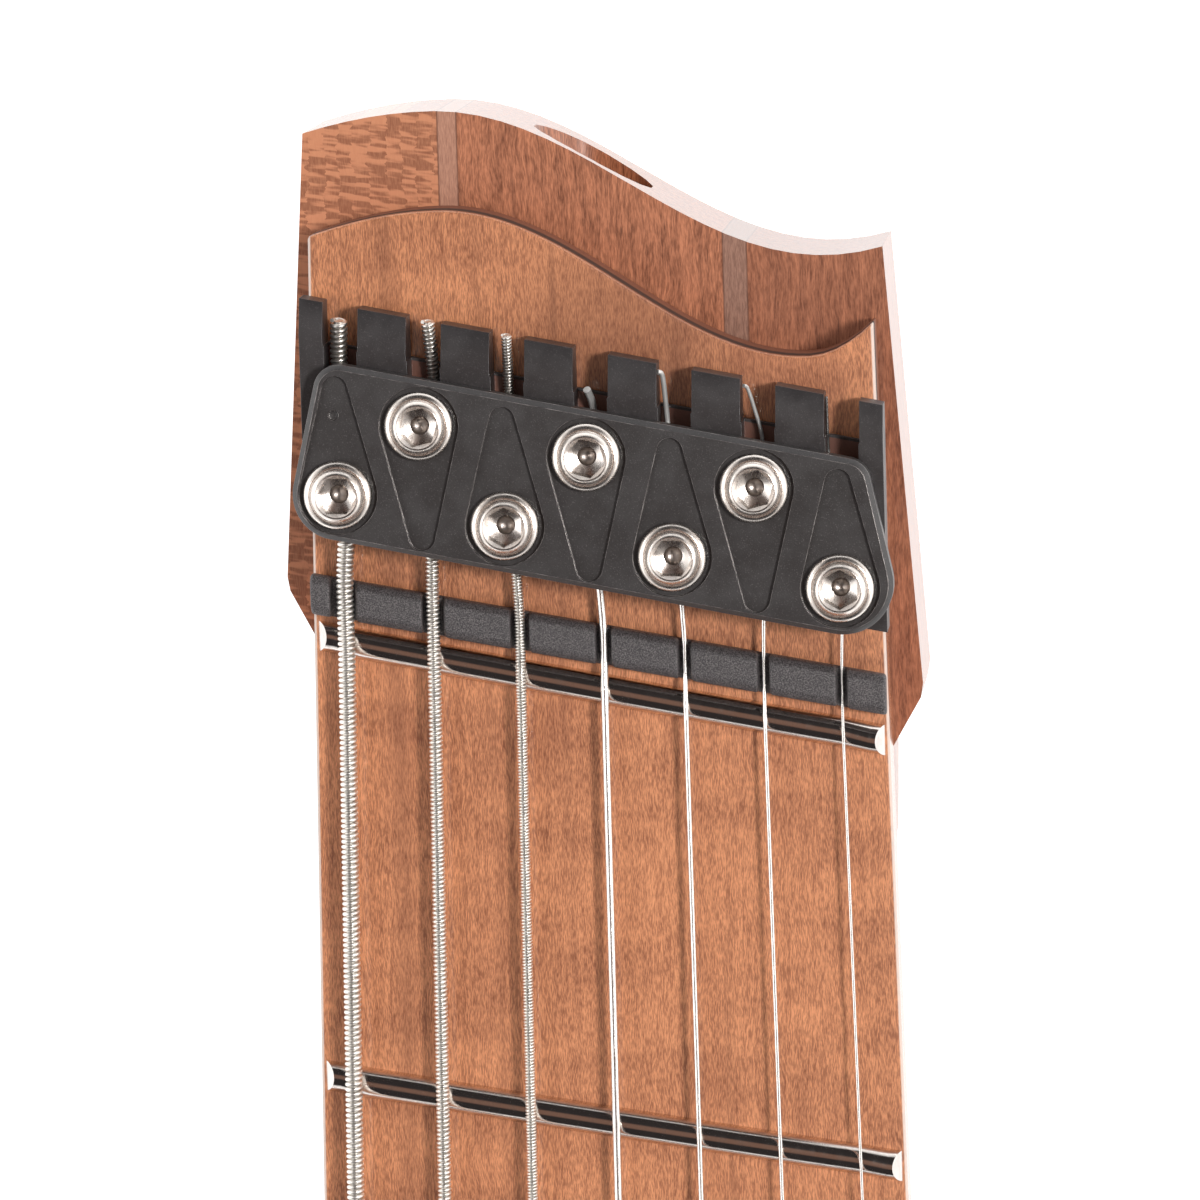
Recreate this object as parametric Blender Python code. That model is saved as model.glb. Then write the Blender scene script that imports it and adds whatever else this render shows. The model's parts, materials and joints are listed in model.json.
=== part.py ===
"""Headless seven-string electric guitar with fanned frets, lying on its back.

Everything is in metres with +Z up. The origin is on the flat back of the body,
below the middle of the bridge line. +Y runs along the strings to the head and
+X points to the treble side.
"""

import math

import bmesh
import bpy
from mathutils import Matrix, Vector

# Fits
GAP = 0.0003
SCREW_FIT = 0.0003
CUT_PAST = 0.002

# Scale lengths and strings, bass string first
SCALE_BASS = 0.66675
SCALE_TREBLE = 0.6477
PARALLEL_FRET = 10
FRETS = 24
STRING_GAUGES = (0.00150, 0.00117, 0.00091, 0.00066, 0.00043, 0.00033, 0.00025)
NUT_SPREAD = 0.0415
BRIDGE_PITCH = 0.0105
ACTION = 0.0014
COMPENSATION_PER_GAUGE = 2.2
STRING_SIDES = 6
BALL_RADIUS = 0.0019
BALL_LENGTH = 0.0032

# Fretboard
BOARD_THICKNESS = 0.006
BOARD_RADIUS = 0.508
BOARD_STRIPS = 4
BOARD_STRIP_WIDTH = 0.0165
BOARD_MARGIN_BASS = 0.0029
BOARD_MARGIN_TREBLE = 0.0037
BOARD_PAST_LAST_FRET = 0.0085
FRET_WIDTH = 0.0027
FRET_HEIGHT = 0.0013
FRET_SEAT = 0.0004
FRET_END_INSET = 0.0005

# Head end, measured from the zero fret
WAVE_RISE = 0.0064
WAVE_TURN_IN = 0.70
WAVE_STEPS = 26
BOARD_WAVE_MIDDLE = 0.0338
BOARD_CREST_X = -0.0120
BOARD_TROUGH_X = 0.0183
BOARD_TAIL_LIFT = 0.0019
BOARD_TAIL_REACH = 0.0060
HEAD_WAVE_MIDDLE = 0.0417
HEAD_CREST_X = -0.0130
HEAD_TROUGH_X = 0.0199
HEAD_CORNER_BASS = -0.0239
HEAD_CORNER_TREBLE = 0.0246
HEAD_DEPTH = 0.0160
EAR_BASS = 0.00277
EAR_BASS_Y = 0.0084
EAR_BASS_LENGTH = 0.0060
EAR_TREBLE = 0.0027
EAR_TREBLE_Y = -0.0016
EAR_TREBLE_LENGTH = 0.0050
EAR_TIP = 0.0006
NECK_INSET = 0.0002

# Neck
HEEL_DEPTH = 0.0174
NECK_DEPTH_FIRST_FRET = 0.0140
NECK_DEPTH_TWELFTH_FRET = 0.0155
HEEL_LENGTH = 0.066
HEEL_BLEND = 0.034
TRUSS_CHANNEL_WIDTH = 0.0066
TRUSS_CHANNEL_DEPTH = 0.0095
TRUSS_ROD_WIDTH = 0.0060
TRUSS_ROD_DEPTH = 0.0088
TRUSS_ACCESS_RADIUS = 0.0050
TRUSS_ACCESS_DROP = 0.0130
TRUSS_ACCESS_BACK = 0.0140
TRUSS_START = 0.0120
TRUSS_NUT_RADIUS = 0.0042
TRUSS_NUT_LENGTH = 0.0120
TRUSS_NUT_SOCKET = 0.0022
TRUSS_NUT_BACK = 0.0100
TRUSS_ROD_THREAD_RADIUS = 0.0022

# Body
BODY_WIDTH = 0.300
BODY_WIDTH_IN_UNITS = 300
BACK_THICKNESS = 0.036
CAP_THICKNESS = 0.006
POCKET_FLOOR = 0.028
EDGE_ROUND = 0.0045
TAIL_PAST_BASE = 0.0063
TAIL_NOTCH_HALF = 0.052
SHOULDER_HALF = 0.037
SHOULDER_BASS_Y = 0.238
SHOULDER_TREBLE_Y = 0.222
OUTLINE_STEPS = 4

# String guide, lock and clamp plate, all slanted with the zero fret
LOCK_SLANT = -0.205
GUIDE_SLANT = -0.195
GUIDE_NEAR = 0.0022
GUIDE_FAR = 0.0056
GUIDE_HEIGHT = 0.0021
GUIDE_LIP = 0.0006
GUIDE_STRING_HEIGHT = 0.0012
LOCK_NEAR = 0.0099
LOCK_FLOOR_END = 0.0252
LOCK_FAR = 0.0287
LOCK_SLOPE_LENGTH = 0.0028
LOCK_SLOPE_DROP = 0.0011
LOCK_PITCH = 0.0069
LOCK_CENTRE_X = 0.0007
LOCK_GROOVE = 0.0027
LOCK_END_WALL = 0.00205
LOCK_FLOOR_HEIGHT = 0.0010
LOCK_HEIGHT = 0.0045
PLATE_NEAR = 0.00925
PLATE_FAR = 0.0241
PLATE_THICKNESS = 0.0020
PLATE_BEVEL = 0.0004
PLATE_END_BASS = 0.0038
PLATE_END_TREBLE = 0.0042
PLATE_END_SHIFT = (0.0002, 0.0003)
PLATE_CORNER_RADIUS = 0.0021
PLATE_CORNER_BASS = 0.0003
PLATE_CORNER_TREBLE = 0.0006
POCKET_DEPTH = 0.0005
POCKET_WIDE = 0.0033
POCKET_NARROW = 0.0011
POCKET_END_MARGIN = 0.0021
SCREW_ROW_NEAR = 0.0132
SCREW_ROW_FAR = 0.0202
CLAMP_HEAD_RADIUS = 0.00285
CLAMP_HEAD_HEIGHT = 0.0016
CLAMP_SHANK_RADIUS = 0.0012
CLAMP_POINT_RADIUS = 0.00075
CLAMP_SHIFT_X = -0.0003
CLAMP_SOCKET = 0.0015
CLAMP_SOCKET_DEPTH = 0.0011
STRING_TAILS = (0.0049, 0.0062, 0.0064, 0.0029, 0.0051, 0.0058, 0.0058)

# Bridge; v is measured from the bridge line towards the head
BASE_WALL = 0.0024
BASE_FLOOR = 0.0025
BASE_HEIGHT = 0.0100
BASE_FRONT = 0.0095
BASE_TAB_FRONT = 0.0180
BASE_NOSE = 0.0030
BASE_END_WALL = 0.0040
SLIDE_FIT = 0.0003
SADDLE_FRONT = 0.0050
SADDLE_FRONT_DROP = 0.0042
SADDLE_BACK_DROP = 0.0048
SADDLE_GROOVE = 0.0004
SADDLE_BACK = -0.0062
SADDLE_TRAVEL = 0.0035
PULLER_LENGTH = 0.0100
PULLER_TRAVEL = 0.0048
PULLER_TOP = 0.0092
PULLER_BALL = 0.0034
PULLER_CHAMFER = 0.0012
SLIDE_SPARE = 0.0004
ROD_RADIUS = 0.0025
ROD_IN_KNOB = 0.0075
ROD_HEIGHT = 0.0065
ROD_CLEARANCE = 0.0003
KNOB_LENGTH = 0.0140
KNOB_RADIUS = 0.0049
KNOB_CAP = 0.0010
ANCHOR_HEIGHT = 0.0070

# Pickups
PICKUP_LENGTH = 0.0889
PICKUP_WIDTH = 0.0381
PICKUP_CORNER = 0.0030
PICKUP_TOP = 0.0085
ROUT_FLOOR = 0.026
ROUT_FIT = 0.0006
NECK_PICKUP_Y = 0.1335
BRIDGE_PICKUP_Y = 0.0420
BLADE_LENGTH = 0.0740
BLADE_THICKNESS = 0.0020
BLADE_OFFSET = 0.0090
BLADE_DEPTH = 0.0020
BLADE_RISE = 0.0006

# Controls
VOLUME_PLACE = (0.088, 0.030)
TONE_PLACE = (0.104, -0.010)
SELECTOR_PLACE = (0.074, 0.066)
CAVITY_CEILING = 0.033
COVER_THICKNESS = 0.0020
COVER_LEDGE = 0.0060
COVER_CORNER = 0.0090
POT_RADIUS = 0.0080
POT_HEIGHT = 0.0090
BUSHING_RADIUS = 0.0035
BUSHING_RISE = 0.0030
SHAFT_RADIUS = 0.0030
SHAFT_RISE = 0.0125
CONTROL_KNOB_RADIUS = 0.0095
CONTROL_KNOB_HEIGHT = 0.0150
CONTROL_KNOB_LIFT = 0.0006
SWITCH_BODY = 0.0160
SWITCH_BODY_HEIGHT = 0.0150
SWITCH_BUSHING_RADIUS = 0.0058
SWITCH_NUT_RADIUS = 0.0080
SWITCH_NUT_HEIGHT = 0.0030
LEVER_PIVOT_RISE = 0.0002
LEVER_RISE = 0.0190
LEVER_TIP_RADIUS = 0.0026
JACK_Y = -0.005
JACK_HEIGHT = 0.021
JACK_FLANGE_RADIUS = 0.0095
JACK_FLANGE = 0.0020
JACK_BARREL_RADIUS = 0.0070
JACK_BARREL_LENGTH = 0.0300
JACK_BORE_RADIUS = 0.0033
JACK_SEAT_X = 0.1450

# Strap buttons
STRAP_BUTTON_HEIGHT = 0.021
STRAP_BASE_RADIUS = 0.0070
STRAP_SEAT_MARGIN = 0.0008
STRAP_WAIST_RADIUS = 0.0042
STRAP_HEAD_RADIUS = 0.0075
STRAP_BUTTON_LENGTH = 0.0135
STRAP_SCREW_RADIUS = 0.0020
STRAP_SCREW_HEAD = 0.0038
STRAP_SCREW_LENGTH = 0.0280
HORN_TIP = (-102, 331.5)
HORN_SEAT = (-99, 330)
TAIL_TIP = (-88, -74.5)
TAIL_SEAT = (-87, -71.5)

# Neck bolts
NECK_PLATE_LENGTH = 0.0520
NECK_PLATE_WIDTH = 0.0510
NECK_PLATE_CORNER = 0.0060
NECK_PLATE_THICKNESS = 0.0020
NECK_PLATE_SINK = 0.0002
NECK_BOLT_RADIUS = 0.0021
NECK_BOLT_SPREAD = 0.0185
NECK_BOLT_BITE = 0.0120

# Sizes that follow from the ones above
BODY_UNIT = BODY_WIDTH / BODY_WIDTH_IN_UNITS
CAP_BOTTOM = BACK_THICKNESS + GAP
CAP_TOP = CAP_BOTTOM + CAP_THICKNESS
HEEL_BOTTOM = POCKET_FLOOR + GAP
NECK_TOP = HEEL_BOTTOM + HEEL_DEPTH
BOARD_BOTTOM = NECK_TOP + GAP
BOARD_TOP = BOARD_BOTTOM + BOARD_THICKNESS
STRINGS = len(STRING_GAUGES)
NUT_HALF = NUT_SPREAD / 2
BRIDGE_HALF = BRIDGE_PITCH * (STRINGS - 1) / 2
LOCK_HALF = LOCK_PITCH * (STRINGS - 1) / 2 + LOCK_GROOVE / 2 + LOCK_END_WALL
MOST_COMPENSATION = COMPENSATION_PER_GAUGE * max(STRING_GAUGES)
PULLER_FRONT = SADDLE_BACK - MOST_COMPENSATION - SADDLE_TRAVEL - PULLER_TRAVEL - SLIDE_SPARE
PULLER_BACK = PULLER_FRONT - PULLER_LENGTH
BASE_BACK = PULLER_BACK - PULLER_TRAVEL - SLIDE_SPARE - BASE_END_WALL
KNOB_FRONT = BASE_BACK - GAP
ROD_END = KNOB_FRONT - ROD_IN_KNOB
TAIL_SETBACK = TAIL_PAST_BASE - BASE_BACK
BASE_BOTTOM = CAP_TOP + GAP
BASE_DECK = BASE_BOTTOM + BASE_FLOOR
BASE_TOP = BASE_BOTTOM + BASE_HEIGHT
TROUGH_WIDTH = BRIDGE_PITCH - BASE_WALL
SLIDER_WIDTH = TROUGH_WIDTH - 2 * SLIDE_FIT


# Materials: name, colour, roughness, metallic
FINISHES = {
    "roasted_maple": ((0.34, 0.15, 0.07, 1.0), 0.5, 0.0),
    "roasted_board": ((0.50, 0.22, 0.10, 1.0), 0.5, 0.0),
    "body_wood": ((0.38, 0.20, 0.10, 1.0), 0.5, 0.0),
    "figured_cap": ((0.42, 0.20, 0.09, 1.0), 0.35, 0.0),
    "black_anodised": ((0.035, 0.031, 0.031, 1.0), 0.5, 0.6),
    "black_graphite": ((0.03, 0.03, 0.032, 1.0), 0.45, 0.0),
    "black_plastic": ((0.02, 0.02, 0.02, 1.0), 0.4, 0.0),
    "stainless": ((0.66, 0.62, 0.58, 1.0), 0.22, 1.0),
    "string_steel": ((0.60, 0.58, 0.55, 1.0), 0.25, 1.0),
    "brass": ((0.72, 0.52, 0.24, 1.0), 0.3, 1.0),
}


def finish(name):
    """The Principled material of this name, made the first time that it is asked for."""
    material = bpy.data.materials.get(name)
    if material is None:
        colour, roughness, metallic = FINISHES[name]
        material = bpy.data.materials.new(name)
        material.use_nodes = True
        shader = material.node_tree.nodes["Principled BSDF"]
        shader.inputs["Base Color"].default_value = colour
        shader.inputs["Roughness"].default_value = roughness
        shader.inputs["Metallic"].default_value = metallic
        material.diffuse_color = colour
    return material


def clear_scene():
    for item in list(bpy.data.objects):
        bpy.data.objects.remove(item)


# Solids


def mesh_of(points, faces):
    """A closed mesh with its faces turned outwards."""
    shape = bmesh.new()
    corners = [shape.verts.new(point) for point in points]
    for face in faces:
        shape.faces.new([corners[index] for index in face])
    bmesh.ops.recalc_face_normals(shape, faces=shape.faces)
    mesh = bpy.data.meshes.new("shape")
    shape.to_mesh(mesh)
    shape.free()
    return mesh


def loft(rings):
    """A solid through rings of equally many points, capped at both ends."""
    count = len(rings[0])
    points = [point for ring in rings for point in ring]
    faces = [tuple(range(count)), tuple(range(len(points) - count, len(points)))]
    for step in range(len(rings) - 1):
        for side in range(count):
            after = (side + 1) % count
            low, high = step * count, (step + 1) * count
            faces.append((low + side, low + after, high + after, high + side))
    return mesh_of(points, faces)


def prism(outline, bottom, top):
    """An outline in plan, drawn up from one height to another."""
    return loft([[(x, y, z) for x, y in outline] for z in (bottom, top)])


def box(x_range, y_range, z_range):
    (x0, x1), (y0, y1) = x_range, y_range
    return prism([(x0, y0), (x1, y0), (x1, y1), (x0, y1)], *z_range)


def slanted_prism(profile, slant, x0, x1):
    """A (v, z) profile drawn across from x0 to x1 along a line that slants in plan."""
    return loft([[(x, slant * x + v, z) for v, z in profile] for x in (x0, x1)])


def turned(profile, sides, place=(0, 0, 0), axis="Z"):
    """A profile of (radius, height) turned round an axis; a radius of 0 closes an end in a point."""
    points, faces, rows = [], [], []
    for radius, height in profile:
        if radius == 0:
            rows.append([len(points)] * sides)
            points.append(Vector((0, 0, height)))
            continue
        rows.append([len(points) + side for side in range(sides)])
        for side in range(sides):
            angle = math.tau * (side + 0.5) / sides
            points.append(Vector((radius * math.cos(angle), radius * math.sin(angle), height)))
    for low, high in zip(rows, rows[1:]):
        for side in range(sides):
            after = (side + 1) % sides
            corners = (low[side], low[after], high[after], high[side])
            faces.append(tuple(dict.fromkeys(corners)))
    for row in (rows[0], rows[-1]):
        if len(set(row)) > 1:
            faces.append(tuple(row))
    turn = {
        "Z": Matrix.Identity(3),
        "X": Matrix.Rotation(math.pi / 2, 3, "Y"),
        "Y": Matrix.Rotation(-math.pi / 2, 3, "X"),
        "-Y": Matrix.Rotation(math.pi / 2, 3, "X"),
        "-Z": Matrix.Rotation(math.pi, 3, "X"),
    }[axis]
    return mesh_of([turn @ point + Vector(place) for point in points], faces)


def cylinder(radius, low, high, place, axis="Z", sides=12):
    return turned([(radius, low), (radius, high)], sides, place, axis)


def tube(path, radius, sides):
    """A round tube along a path in space."""
    rings = []
    for index, point in enumerate(path):
        before = path[max(index - 1, 0)]
        after = path[min(index + 1, len(path) - 1)]
        along = (Vector(after) - Vector(before)).normalized()
        across = along.cross(Vector((0, 0, 1))).normalized()
        up = across.cross(along)
        ring = []
        for side in range(sides):
            angle = math.tau * (side + 0.5) / sides
            ring.append(Vector(point) + radius * (math.cos(angle) * across + math.sin(angle) * up))
        rings.append(ring)
    return loft(rings)


def merged(meshes):
    """Several closed shapes in one mesh."""
    shape = bmesh.new()
    for mesh in meshes:
        shape.from_mesh(mesh)
    mesh = bpy.data.meshes.new("shape")
    shape.to_mesh(mesh)
    shape.free()
    return mesh


def combined(mesh, others, operation):
    """The mesh after one Boolean for each of the others."""
    body = bpy.data.objects.new("body", mesh)
    bpy.context.scene.collection.objects.link(body)
    tools = []
    for other in others:
        tool = bpy.data.objects.new("tool", other)
        bpy.context.scene.collection.objects.link(tool)
        tools.append(tool)
        modifier = body.modifiers.new("combine", "BOOLEAN")
        modifier.operation = operation
        modifier.solver = "EXACT"
        modifier.object = tool
    graph = bpy.context.evaluated_depsgraph_get()
    result = bpy.data.meshes.new_from_object(body.evaluated_get(graph))
    for item in [body, *tools]:
        bpy.data.objects.remove(item)
    return result


def cut(mesh, *others):
    return combined(mesh, others, "DIFFERENCE")


def joined(mesh, *others):
    return combined(mesh, others, "UNION")


def overlap(mesh, *others):
    return combined(mesh, others, "INTERSECT")


def moved(mesh, offset):
    copy = mesh.copy()
    copy.transform(Matrix.Translation(offset))
    return copy


def turned_about(mesh, degrees, place):
    """A copy of the mesh turned in plan by an angle, then put in its place."""
    copy = mesh.copy()
    copy.transform(Matrix.Translation(place) @ Matrix.Rotation(math.radians(degrees), 4, "Z"))
    return copy


def add(name, mesh, material, origin=(0, 0, 0)):
    """The finished sub-part, with its origin where it turns or slides."""
    mesh = mesh.copy()
    mesh.name = name
    mesh.transform(Matrix.Translation([-value for value in origin]))
    mesh.materials.clear()
    mesh.materials.append(finish(material))
    mesh.shade_smooth()
    mesh.set_sharp_from_angle(angle=math.radians(32))
    item = bpy.data.objects.new(name, mesh)
    item.location = origin
    bpy.context.scene.collection.objects.link(item)
    return item


# Plan curves


def through(points, steps):
    """A smooth open curve through the points, without its last one."""
    curve = []
    for index in range(len(points) - 1):
        p1, p2 = Vector(points[index]), Vector(points[index + 1])
        p0 = Vector(points[index - 1]) if index else 2 * p1 - p2
        p3 = Vector(points[index + 2]) if index + 2 < len(points) else 2 * p2 - p1
        for step in range(steps):
            t = step / steps
            curve.append(
                0.5
                * (
                    2 * p1
                    + (p2 - p0) * t
                    + (2 * p0 - 5 * p1 + 4 * p2 - p3) * t**2
                    + (3 * p1 - p0 - 3 * p2 + p3) * t**3
                )
            )
    return [tuple(point) for point in curve]


def arc(centre, radius, start, end, steps):
    """Points on an arc, in degrees."""
    angles = [math.radians(start + (end - start) * step / steps) for step in range(steps + 1)]
    return [(centre[0] + radius * math.cos(a), centre[1] + radius * math.sin(a)) for a in angles]


def hull(points):
    """The convex outline round some points."""
    points = sorted(set(points))
    halves = []
    for run in (points, points[::-1]):
        side = []
        for point in run:
            while len(side) > 1:
                (ax, ay), (bx, by) = side[-2], side[-1]
                if (bx - ax) * (point[1] - ay) > (by - ay) * (point[0] - ax):
                    break
                side.pop()
            side.append(point)
        halves.append(side[:-1])
    return halves[0] + halves[1]


def round_rectangle(length, width, radius, steps=3):
    half_x, half_y = length / 2 - radius, width / 2 - radius
    outline = []
    for x, y, start in ((1, 1, 0), (-1, 1, 90), (-1, -1, 180), (1, -1, 270)):
        outline += arc((x * half_x, y * half_y), radius, start, start + 90, steps)
    return outline


def rounded_corners(points, radius, steps=3):
    """A convex outline with each corner turned into an arc."""
    outline = []
    for index, point in enumerate(points):
        corner = Vector(point)
        back = (Vector(points[index - 1]) - corner).normalized()
        ahead = (Vector(points[(index + 1) % len(points)]) - corner).normalized()
        half = back.angle(ahead) / 2
        centre = corner + (back + ahead).normalized() * radius / math.sin(half)
        start, end = corner + back * radius / math.tan(half), corner + ahead * radius / math.tan(half)
        for step in range(steps + 1):
            spoke = (start - centre).lerp(end - centre, step / steps).normalized() * radius
            outline.append(tuple(centre + spoke))
    return outline


# The fan of the frets


def distance_share(fret):
    """How far along the scale this fret lies, as a share of the scale length."""
    return 1 - 2 ** (-fret / 12)


PARALLEL_SHARE = distance_share(PARALLEL_FRET)
PARALLEL_Y = (SCALE_BASS + SCALE_TREBLE) / 2 * (1 - PARALLEL_SHARE)
NUT_TO_BRIDGE = (SCALE_BASS + SCALE_TREBLE) / 2


def string_half(y):
    """Half the width between the outer strings."""
    return BRIDGE_HALF + (NUT_HALF - BRIDGE_HALF) * y / NUT_TO_BRIDGE


def fan_line(share):
    """Where the line at this share of the scale crosses the middle, and its slope in plan."""
    bass_y = PARALLEL_Y - SCALE_BASS * (share - PARALLEL_SHARE)
    treble_y = PARALLEL_Y - SCALE_TREBLE * (share - PARALLEL_SHARE)
    bass_half, treble_half = string_half(bass_y), string_half(treble_y)
    slope = (treble_y - bass_y) / (bass_half + treble_half)
    return bass_y + slope * bass_half, slope


def share_at(y):
    return PARALLEL_SHARE + (PARALLEL_Y - y) / NUT_TO_BRIDGE


NUT_Y, NUT_SLOPE = fan_line(0)
BRIDGE_Y, BRIDGE_SLOPE = fan_line(1)
LAST_FRET_Y, LAST_FRET_SLOPE = fan_line(distance_share(FRETS))
BOARD_END_Y = LAST_FRET_Y - BOARD_PAST_LAST_FRET


def board_left(y):
    return -string_half(y) - BOARD_MARGIN_BASS


def board_right(y):
    return string_half(y) + BOARD_MARGIN_TREBLE


def across_board(mid_y, slope, inset=0.0):
    """Where a slanted line meets the two edges of the fretboard."""
    left = board_left(mid_y + slope * board_left(mid_y)) + inset
    right = board_right(mid_y + slope * board_right(mid_y)) - inset
    return left, right


def strip_edges():
    half = BOARD_STRIPS / 2
    return [(index - half) * BOARD_STRIP_WIDTH for index in range(BOARD_STRIPS + 1)]


def crown_drop(x):
    """How far the curved top of the fretboard lies below its middle, in flat strips."""
    edges = strip_edges()
    for start, end in zip(edges, edges[1:]):
        if start <= x <= end or end == edges[-1] or (start == edges[0] and x < start):
            drop_start, drop_end = start**2 / (2 * BOARD_RADIUS), end**2 / (2 * BOARD_RADIUS)
            return drop_start + (drop_end - drop_start) * (x - start) / (end - start)


def board_z(x):
    return BOARD_TOP - crown_drop(x)


def nut_string_x():
    """String places at the zero fret, with even spaces between neighbouring strings."""
    steps = [(a + b) / 2 for a, b in zip(STRING_GAUGES, STRING_GAUGES[1:])]
    space = (NUT_SPREAD - sum(steps)) / len(steps)
    places = [-NUT_HALF]
    for step in steps:
        places.append(places[-1] + space + step)
    return places


def bridge_string_x(index):
    return (index - (STRINGS - 1) / 2) * BRIDGE_PITCH


def bridge_line_y(x):
    return BRIDGE_Y + BRIDGE_SLOPE * x


def string_low_at_zero_fret(x):
    return board_z(x) + FRET_HEIGHT + GAP


def string_low_at_saddle(x):
    return string_low_at_zero_fret(x) + 2 * ACTION


# Head, neck and fretboard


def wave(x, crest_x, trough_x):
    """One S-shaped swing from a crest to a trough, flatter before the crest."""
    half_turn = math.pi * (x - crest_x) / (trough_x - crest_x)
    if x < crest_x:
        half_turn *= WAVE_TURN_IN
    return WAVE_RISE * math.cos(half_turn)


def board_wave_y(x):
    """The wave end of the fretboard, which hooks up at its treble corner."""
    hook = max(0, x - BOARD_TROUGH_X) / BOARD_TAIL_REACH
    swing = wave(x, BOARD_CREST_X, BOARD_TROUGH_X)
    return NUT_Y + BOARD_WAVE_MIDDLE + swing + BOARD_TAIL_LIFT * hook**2


def head_wave_y(x):
    return NUT_Y + HEAD_WAVE_MIDDLE + wave(x, HEAD_CREST_X, HEAD_TROUGH_X)


def wave_line(start, end, wave_y):
    points = [start + (end - start) * step / WAVE_STEPS for step in range(WAVE_STEPS + 1)]
    return [(x, wave_y(x)) for x in points]


def board_outline():
    left, right = across_board(BOARD_END_Y, LAST_FRET_SLOPE)
    top_left = board_left(board_wave_y(board_left(NUT_Y)))
    top_right = board_right(board_wave_y(board_right(NUT_Y)))
    outline = [(left, BOARD_END_Y + LAST_FRET_SLOPE * left)]
    outline += [(right, BOARD_END_Y + LAST_FRET_SLOPE * right)]
    return outline + wave_line(top_right, top_left, board_wave_y)


def fret_lines():
    return [fan_line(distance_share(fret)) for fret in range(FRETS + 1)]


def fret_crown(mid_y, slope):
    """One fret, bent to the strips of the fretboard and seated a little into it."""
    left, right = across_board(mid_y, slope, FRET_END_INSET)
    stations = [left] + [x for x in strip_edges() if left < x < right] + [right]
    half = FRET_WIDTH / 2
    rings = []
    for x in stations:
        foot, top = board_z(x) - FRET_SEAT, board_z(x) + FRET_HEIGHT
        section = [(half, foot), (half * 0.5, top), (-half * 0.5, top), (-half, foot)]
        rings.append([(x, mid_y + slope * x + v, z) for v, z in section])
    return loft(rings)


def make_fretboard():
    """The radiused board with its wave end, and the zero fret and frets pressed into it."""
    edges = strip_edges()
    wide = [edges[0] - 0.02] + edges[1:-1] + [edges[-1] + 0.02]
    section = [(x, board_z(x)) for x in wide] + [(wide[-1], 0.0), (wide[0], 0.0)]
    barrel = loft([[(x, y, z) for x, z in section] for y in (0.0, NUT_Y + 0.1)])
    board = overlap(prism(board_outline(), BOARD_BOTTOM, BOARD_TOP + 0.002), barrel)
    return joined(board, merged([fret_crown(*line) for line in fret_lines()]))


def neck_ring(mid_y, slope, left, right, depth, squareness, steps=10):
    """A section of the neck: flat on top and round, or nearly square, below."""
    centre, half = (left + right) / 2, (right - left) / 2
    ring = []
    for step in range(steps + 1):
        angle = math.pi * step / steps
        side = math.copysign(abs(math.cos(angle)) ** (2 / squareness), math.cos(angle))
        x = centre - half * side
        z = NECK_TOP - depth * math.sin(angle) ** (2 / squareness)
        ring.append((x, mid_y + slope * x, z))
    return ring


def ear(edge, side, reach, ear_y, length):
    """The points where the head steps out from one side of the neck, from the neck outwards."""
    tip = edge(NUT_Y) + side * reach
    foot = ear_y - length
    points = [(edge(foot - 4 * length) - side * NECK_INSET, foot - 4 * length)]
    points += [(edge(foot) - side * NECK_INSET, foot)]
    return points + [(tip - side * EAR_TIP / 3, ear_y - EAR_TIP), (tip, ear_y + EAR_TIP)]


def head_outline():
    """The plan of the whole neck, wide of its sides until it nears the two ears of the head."""
    wide = 3 * NUT_HALF
    bass_ear = ear(board_left, -1, EAR_BASS, NUT_Y + EAR_BASS_Y, EAR_BASS_LENGTH)
    treble_ear = ear(board_right, 1, EAR_TREBLE, NUT_Y + EAR_TREBLE_Y, EAR_TREBLE_LENGTH)
    outline = [(-wide, 0.0), (wide, 0.0), (wide, treble_ear[0][1])] + treble_ear
    outline += wave_line(HEAD_CORNER_TREBLE, HEAD_CORNER_BASS, head_wave_y)
    return outline + bass_ear[::-1] + [(-wide, bass_ear[0][1])]


def truss_nut_y():
    return NUT_Y + HEAD_WAVE_MIDDLE - TRUSS_ACCESS_BACK


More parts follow.
